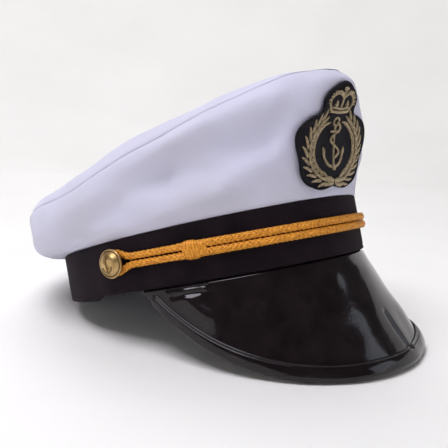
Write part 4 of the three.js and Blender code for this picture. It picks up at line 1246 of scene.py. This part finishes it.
def leaf(x, y, length, width, turn, height):  # a padded satin leaf, pointing along a turn from straight up
    t = np.linspace(0, 1, 24)
    bend = 0.06 * length * np.sin(np.pi * t)
    along = np.stack([math.sin(turn) * t * length, math.cos(turn) * t * length], -1)
    across = np.stack([math.cos(turn) * bend, -math.sin(turn) * bend], -1)
    full = np.sin(np.pi * np.clip(t * 0.94 + 0.04, 0, 1) ** 0.85) ** 0.8
    return (along + across + (x, y), full * width / 2 * 0.86, 0.15 + 0.5 * full, badge["wall"] + height)


def makeWreath(tree, material):
    lines = []
    for side in (1, -1):
        stem = wreathPoint(side, np.linspace(-0.04, 0.97, 60))
        lines.append((stem, wreath["stem"], 0.45, badge["wall"] + 0.1))
        for i in range(wreath["leaves"]):
            share = mix(0.06, 0.93, i / (wreath["leaves"] - 1))
            (x, y), (nextX, nextY) = wreathPoint(side, share), wreathPoint(side, share + 0.02)
            heading = math.atan2(nextX - x, nextY - y)
            for way, length, height in ((-1, 1, 0.1), (1, 1, 0.1), (0, 0.85, 0.4)):
                turn = heading + math.radians(way * wreath["lean"])
                aside = way * wreath["rowStep"]
                lines.append(leaf(x + aside * math.cos(heading), y - aside * math.sin(heading),
                                  wreath["leafLength"] * length, wreath["leafWidth"], turn, height))
    foot = wreathPoint(1, 0)[1] + 0.6
    for side in (1, -1):  # broad leaves lie level at the foot
        lines.append(leaf(side * 0.6, foot, 9.0, 2.8, side * math.radians(82), 0.4))
        lines.append(leaf(side * 1.0, foot - 1.6, 8.0, 2.4, side * math.radians(96), 0.3))
    return embroider("badgeWreath", tree, material, "bullion", lines, "badge_wreath", vee=0.45, **threads)


anchor = {"footUp": 9.4, "height": 27, "width": 18, "thread": 0.62, "rope": 0.48, "ring": 0.5,
          "flukeLength": 4.6, "flukeWidth": 2.4, "ball": 1.5}


def makeAnchor(tree, material):
    base = anchor["footUp"] + 2 * anchor["thread"]
    half = anchor["width"] / 2
    lines = []
    for part, line in anchorLines(anchor["height"] - 2 * anchor["thread"], half).items():
        thick = {"rope": anchor["rope"], "ring": anchor["ring"]}.get(part, anchor["thread"])
        height = {"rope": 0.75, "stock": 0.35}.get(part, 0.1)
        lines.append((line + (0, base), thick, 0.5, badge["wall"] + height))
    lines.append((np.array([(0, base - anchor["ball"]), (0, base), (0, base + anchor["ball"])]),
                  np.array([0.8, anchor["ball"], 0.8]), 0.9, badge["wall"] + 0.5))
    for side in (1, -1):
        turn = side * math.radians(12)
        lines.append(leaf(side * half - math.sin(turn) * anchor["flukeLength"] * 0.45,
                          base + half - anchor["flukeLength"] * 0.45, anchor["flukeLength"],
                          anchor["flukeWidth"], turn, 0.15))
    return embroider("badgeAnchor", tree, material, "bullion", lines, "badge_anchor", lean=0.25, **threads)


emblem = {"width": 22, "height": 13, "footUp": 42.6, "rim": 0.8, "band": 0.5, "post": 0.5, "arch": 0.6}


def makeEmblem(tree, material):
    half = emblem["width"] / 2

    def spot(rows, side=1):
        rows = smoothPath(rows, 10)
        return rows * (side * half, emblem["height"]) + (0, emblem["footUp"])

    flat = badge["wall"]
    knob = np.interp(np.arange(21), [0, 10, 20], [0.5, 1.0, 0.4])
    lines = [
        (spot([(-0.72, 0), (0, -0.06), (0.72, 0)]), emblem["rim"], 0.6, flat + 0.1),
        (spot([(-0.68, 0.17), (0, 0.1), (0.68, 0.17)]), emblem["band"], 0.5, flat + 0.1),
        (spot([(0, 0), (0, 0.5), (0, 0.86)]), emblem["post"], 0.5, flat + 0.1),
        (spot([(0, 0.8), (0, 0.92), (0, 1.0)]), knob, 0.6, flat + 0.3),
        (spot([(-0.15, 0.93), (0, 0.93), (0.15, 0.93)]), 0.5, 0.5, flat + 0.5),
    ]
    for side in (1, -1):
        arch = spot([(0.68, 0), (0.95, 0.42), (0.72, 0.7), (0.32, 0.74), (0, 0.58)], side)
        lines.append((arch, emblem["arch"], 0.55, flat + 0.15))
        for share in np.linspace(0.2, 0.92, 9):  # grains point outwards all along the arch
            x, y = arch[int(share * (len(arch) - 1))]
            turn = math.atan2(x, y - emblem["footUp"] - 0.2 * emblem["height"])
            lines.append(leaf(x, y, 1.9, 1.1, turn, 0.5))
        x, y = spot([(0.42, 0.2), (0.42, 0.3), (0.42, 0.4)], side)[10]
        lines.append(leaf(x, y - 2.2, 4.2, 2.2, 0, 0.15))
        lines.append(leaf(x, y - 1.2, 2.0, 3.4, 0, 0.15))
    return embroider("badgeCrown", tree, material, "bullion", lines, "badge_crown", **threads)


def makeBadgeEdge(tree, material):  # dark thread wound over the patch's edge
    outline = badgeOutline()
    lines = [(outline, badge["edge"], 0.75, badge["wall"] * 0.6)]
    return embroider("badgeEdge", tree, material, "dark_felt", lines, None, True,
                     pitch=badge["edgePitch"] * mm, threadRadius=0.0003, underside=0.6, steps=10)


# Floor, lights and camera

studio = {
    "floorRadius": 0.85, "wallRadius": 1.5, "wallHeight": 0.65, "world": 0.08,
    "worldTint": (1.0, 0.98, 0.98), "columns": 96,
    # name, azimuth from the front towards the wearer's right, elevation, distance, size, power, tint
    "lights": [
        ("keyLight", 92, 66, 1.5, 0.9, 18, (0.95, 0.94, 1.02)),
        ("fillLight", 322, 22, 1.6, 0.8, 2.6, (0.82, 0.88, 1.0)),
        ("backLight", 215, 55, 1.6, 1.0, 10, (0.97, 0.97, 1.0)),
    ],
}
view = {
    "azimuth": 48.693, "elevation": 10.182, "roll": 3.019, "distance": 0.49148,
    "target": (0.0049, 0, 0.0576), "lens": 62.5,
}


def aim(azimuth, elevation):
    a, e = math.radians(azimuth), math.radians(elevation)
    return Vector((-math.sin(a) * math.cos(e), -math.cos(a) * math.cos(e), math.sin(e)))


def makeFloor(material):
    radii = [0.05 * i for i in range(1, 17)] + [studio["floorRadius"]]
    rows = [(r, 0.0) for r in radii]
    for a in np.linspace(0, np.pi / 2, 24)[1:]:
        reach = studio["wallRadius"] - studio["floorRadius"]
        rows.append((studio["floorRadius"] + reach * math.sin(a), studio["wallHeight"] * (1 - math.cos(a))))
    columns = studio["columns"]
    turn = np.linspace(0, 2 * np.pi, columns, endpoint=False)
    points = np.array([(r * math.cos(t), r * math.sin(t), z) for r, z in rows for t in turn] + [(0, 0, 0)])
    i = np.arange(columns)
    faces = gridFaces(len(rows), columns, False, True).tolist()
    faces += np.stack([i, (i + 1) % columns, np.full(columns, len(points) - 1)], -1).tolist()
    floor = meshObject("paleFloor", points, faces, material)
    return floor


def makeLights():
    world = bpy.data.worlds.new("dimStudio")
    bpy.context.scene.world = world
    world.use_nodes = True
    sky = world.node_tree.nodes["Background"]
    plug(sky, {"Color": (*studio["worldTint"], 1), "Strength": studio["world"]})
    for name, azimuth, elevation, distance, size, power, tint in studio["lights"]:
        light = bpy.data.lights.new(name, "AREA")
        light.size = size
        light.energy = power
        light.color = tint
        lamp = linkObject(name, light)
        back = aim(azimuth, elevation)
        lamp.location = Vector(view["target"]) + back * distance
        lamp.rotation_euler = back.to_track_quat("Z", "Y").to_euler()


def makeCamera():
    a, roll = math.radians(view["azimuth"]), math.radians(view["roll"])
    back = aim(view["azimuth"], view["elevation"])
    right = Vector((math.cos(a), -math.sin(a), 0))
    up = back.cross(right)
    across = right * math.cos(roll) + up * math.sin(roll)
    rising = up * math.cos(roll) - right * math.sin(roll)
    lens = bpy.data.cameras.new("photoView")
    lens.lens = view["lens"]
    lens.sensor_width = 36
    lens.clip_start = 0.01
    camera = linkObject("photoView", lens)
    turned = Matrix((across, rising, back)).transposed().to_4x4()
    turned.translation = Vector(view["target"]) + back * view["distance"]
    camera.matrix_world = turned
    bpy.context.scene.camera = camera


bpy.context.scene.view_settings.view_transform = "Standard"
makeCamera()
makeLights()
makeFloor(makePaleFloor())
print("studio set")

whiteTwill = makeTwill()
blackMohair = makeMohair()
patentBlack = makeVinyl()
goldBraid = makeGoldBraid()
agedBrass = makeBrass()
darkFelt = makeDarkFelt()
paleBullion = makeBullion()
braidTree = makeBraidTree()
windTree = makeWindTree()
stitchTree = makeStitchTree()
tubeTree = makeTubeTree()
print("materials and trees ready")

makeCrownWall(whiteTwill)
makeCrownPanel(whiteTwill)
makeHeadBand(blackMohair)
print("crown and band sewn")

makePeak(patentBlack)
makePeakBorder(patentBlack)
makeBorderStitches(stitchTree, patentBlack)
print("peak bound")

makeCord(braidTree, goldBraid)
makeKnot(windTree, goldBraid, 1, "slideKnotRight", "knot_right")
makeKnot(windTree, goldBraid, -1, "slideKnotLeft", "knot_left")
makeButton(tubeTree, agedBrass, button["angle"], "capButtonRight", "button_right")
makeButton(tubeTree, agedBrass, -button["angle"], "capButtonLeft", "button_left")
print("cord, knots and buttons fitted")

makePatch(darkFelt)
makeBadgeEdge(windTree, darkFelt)
makeWreath(windTree, paleBullion)
makeAnchor(windTree, paleBullion)
makeEmblem(windTree, paleBullion)
print("badge embroidered")
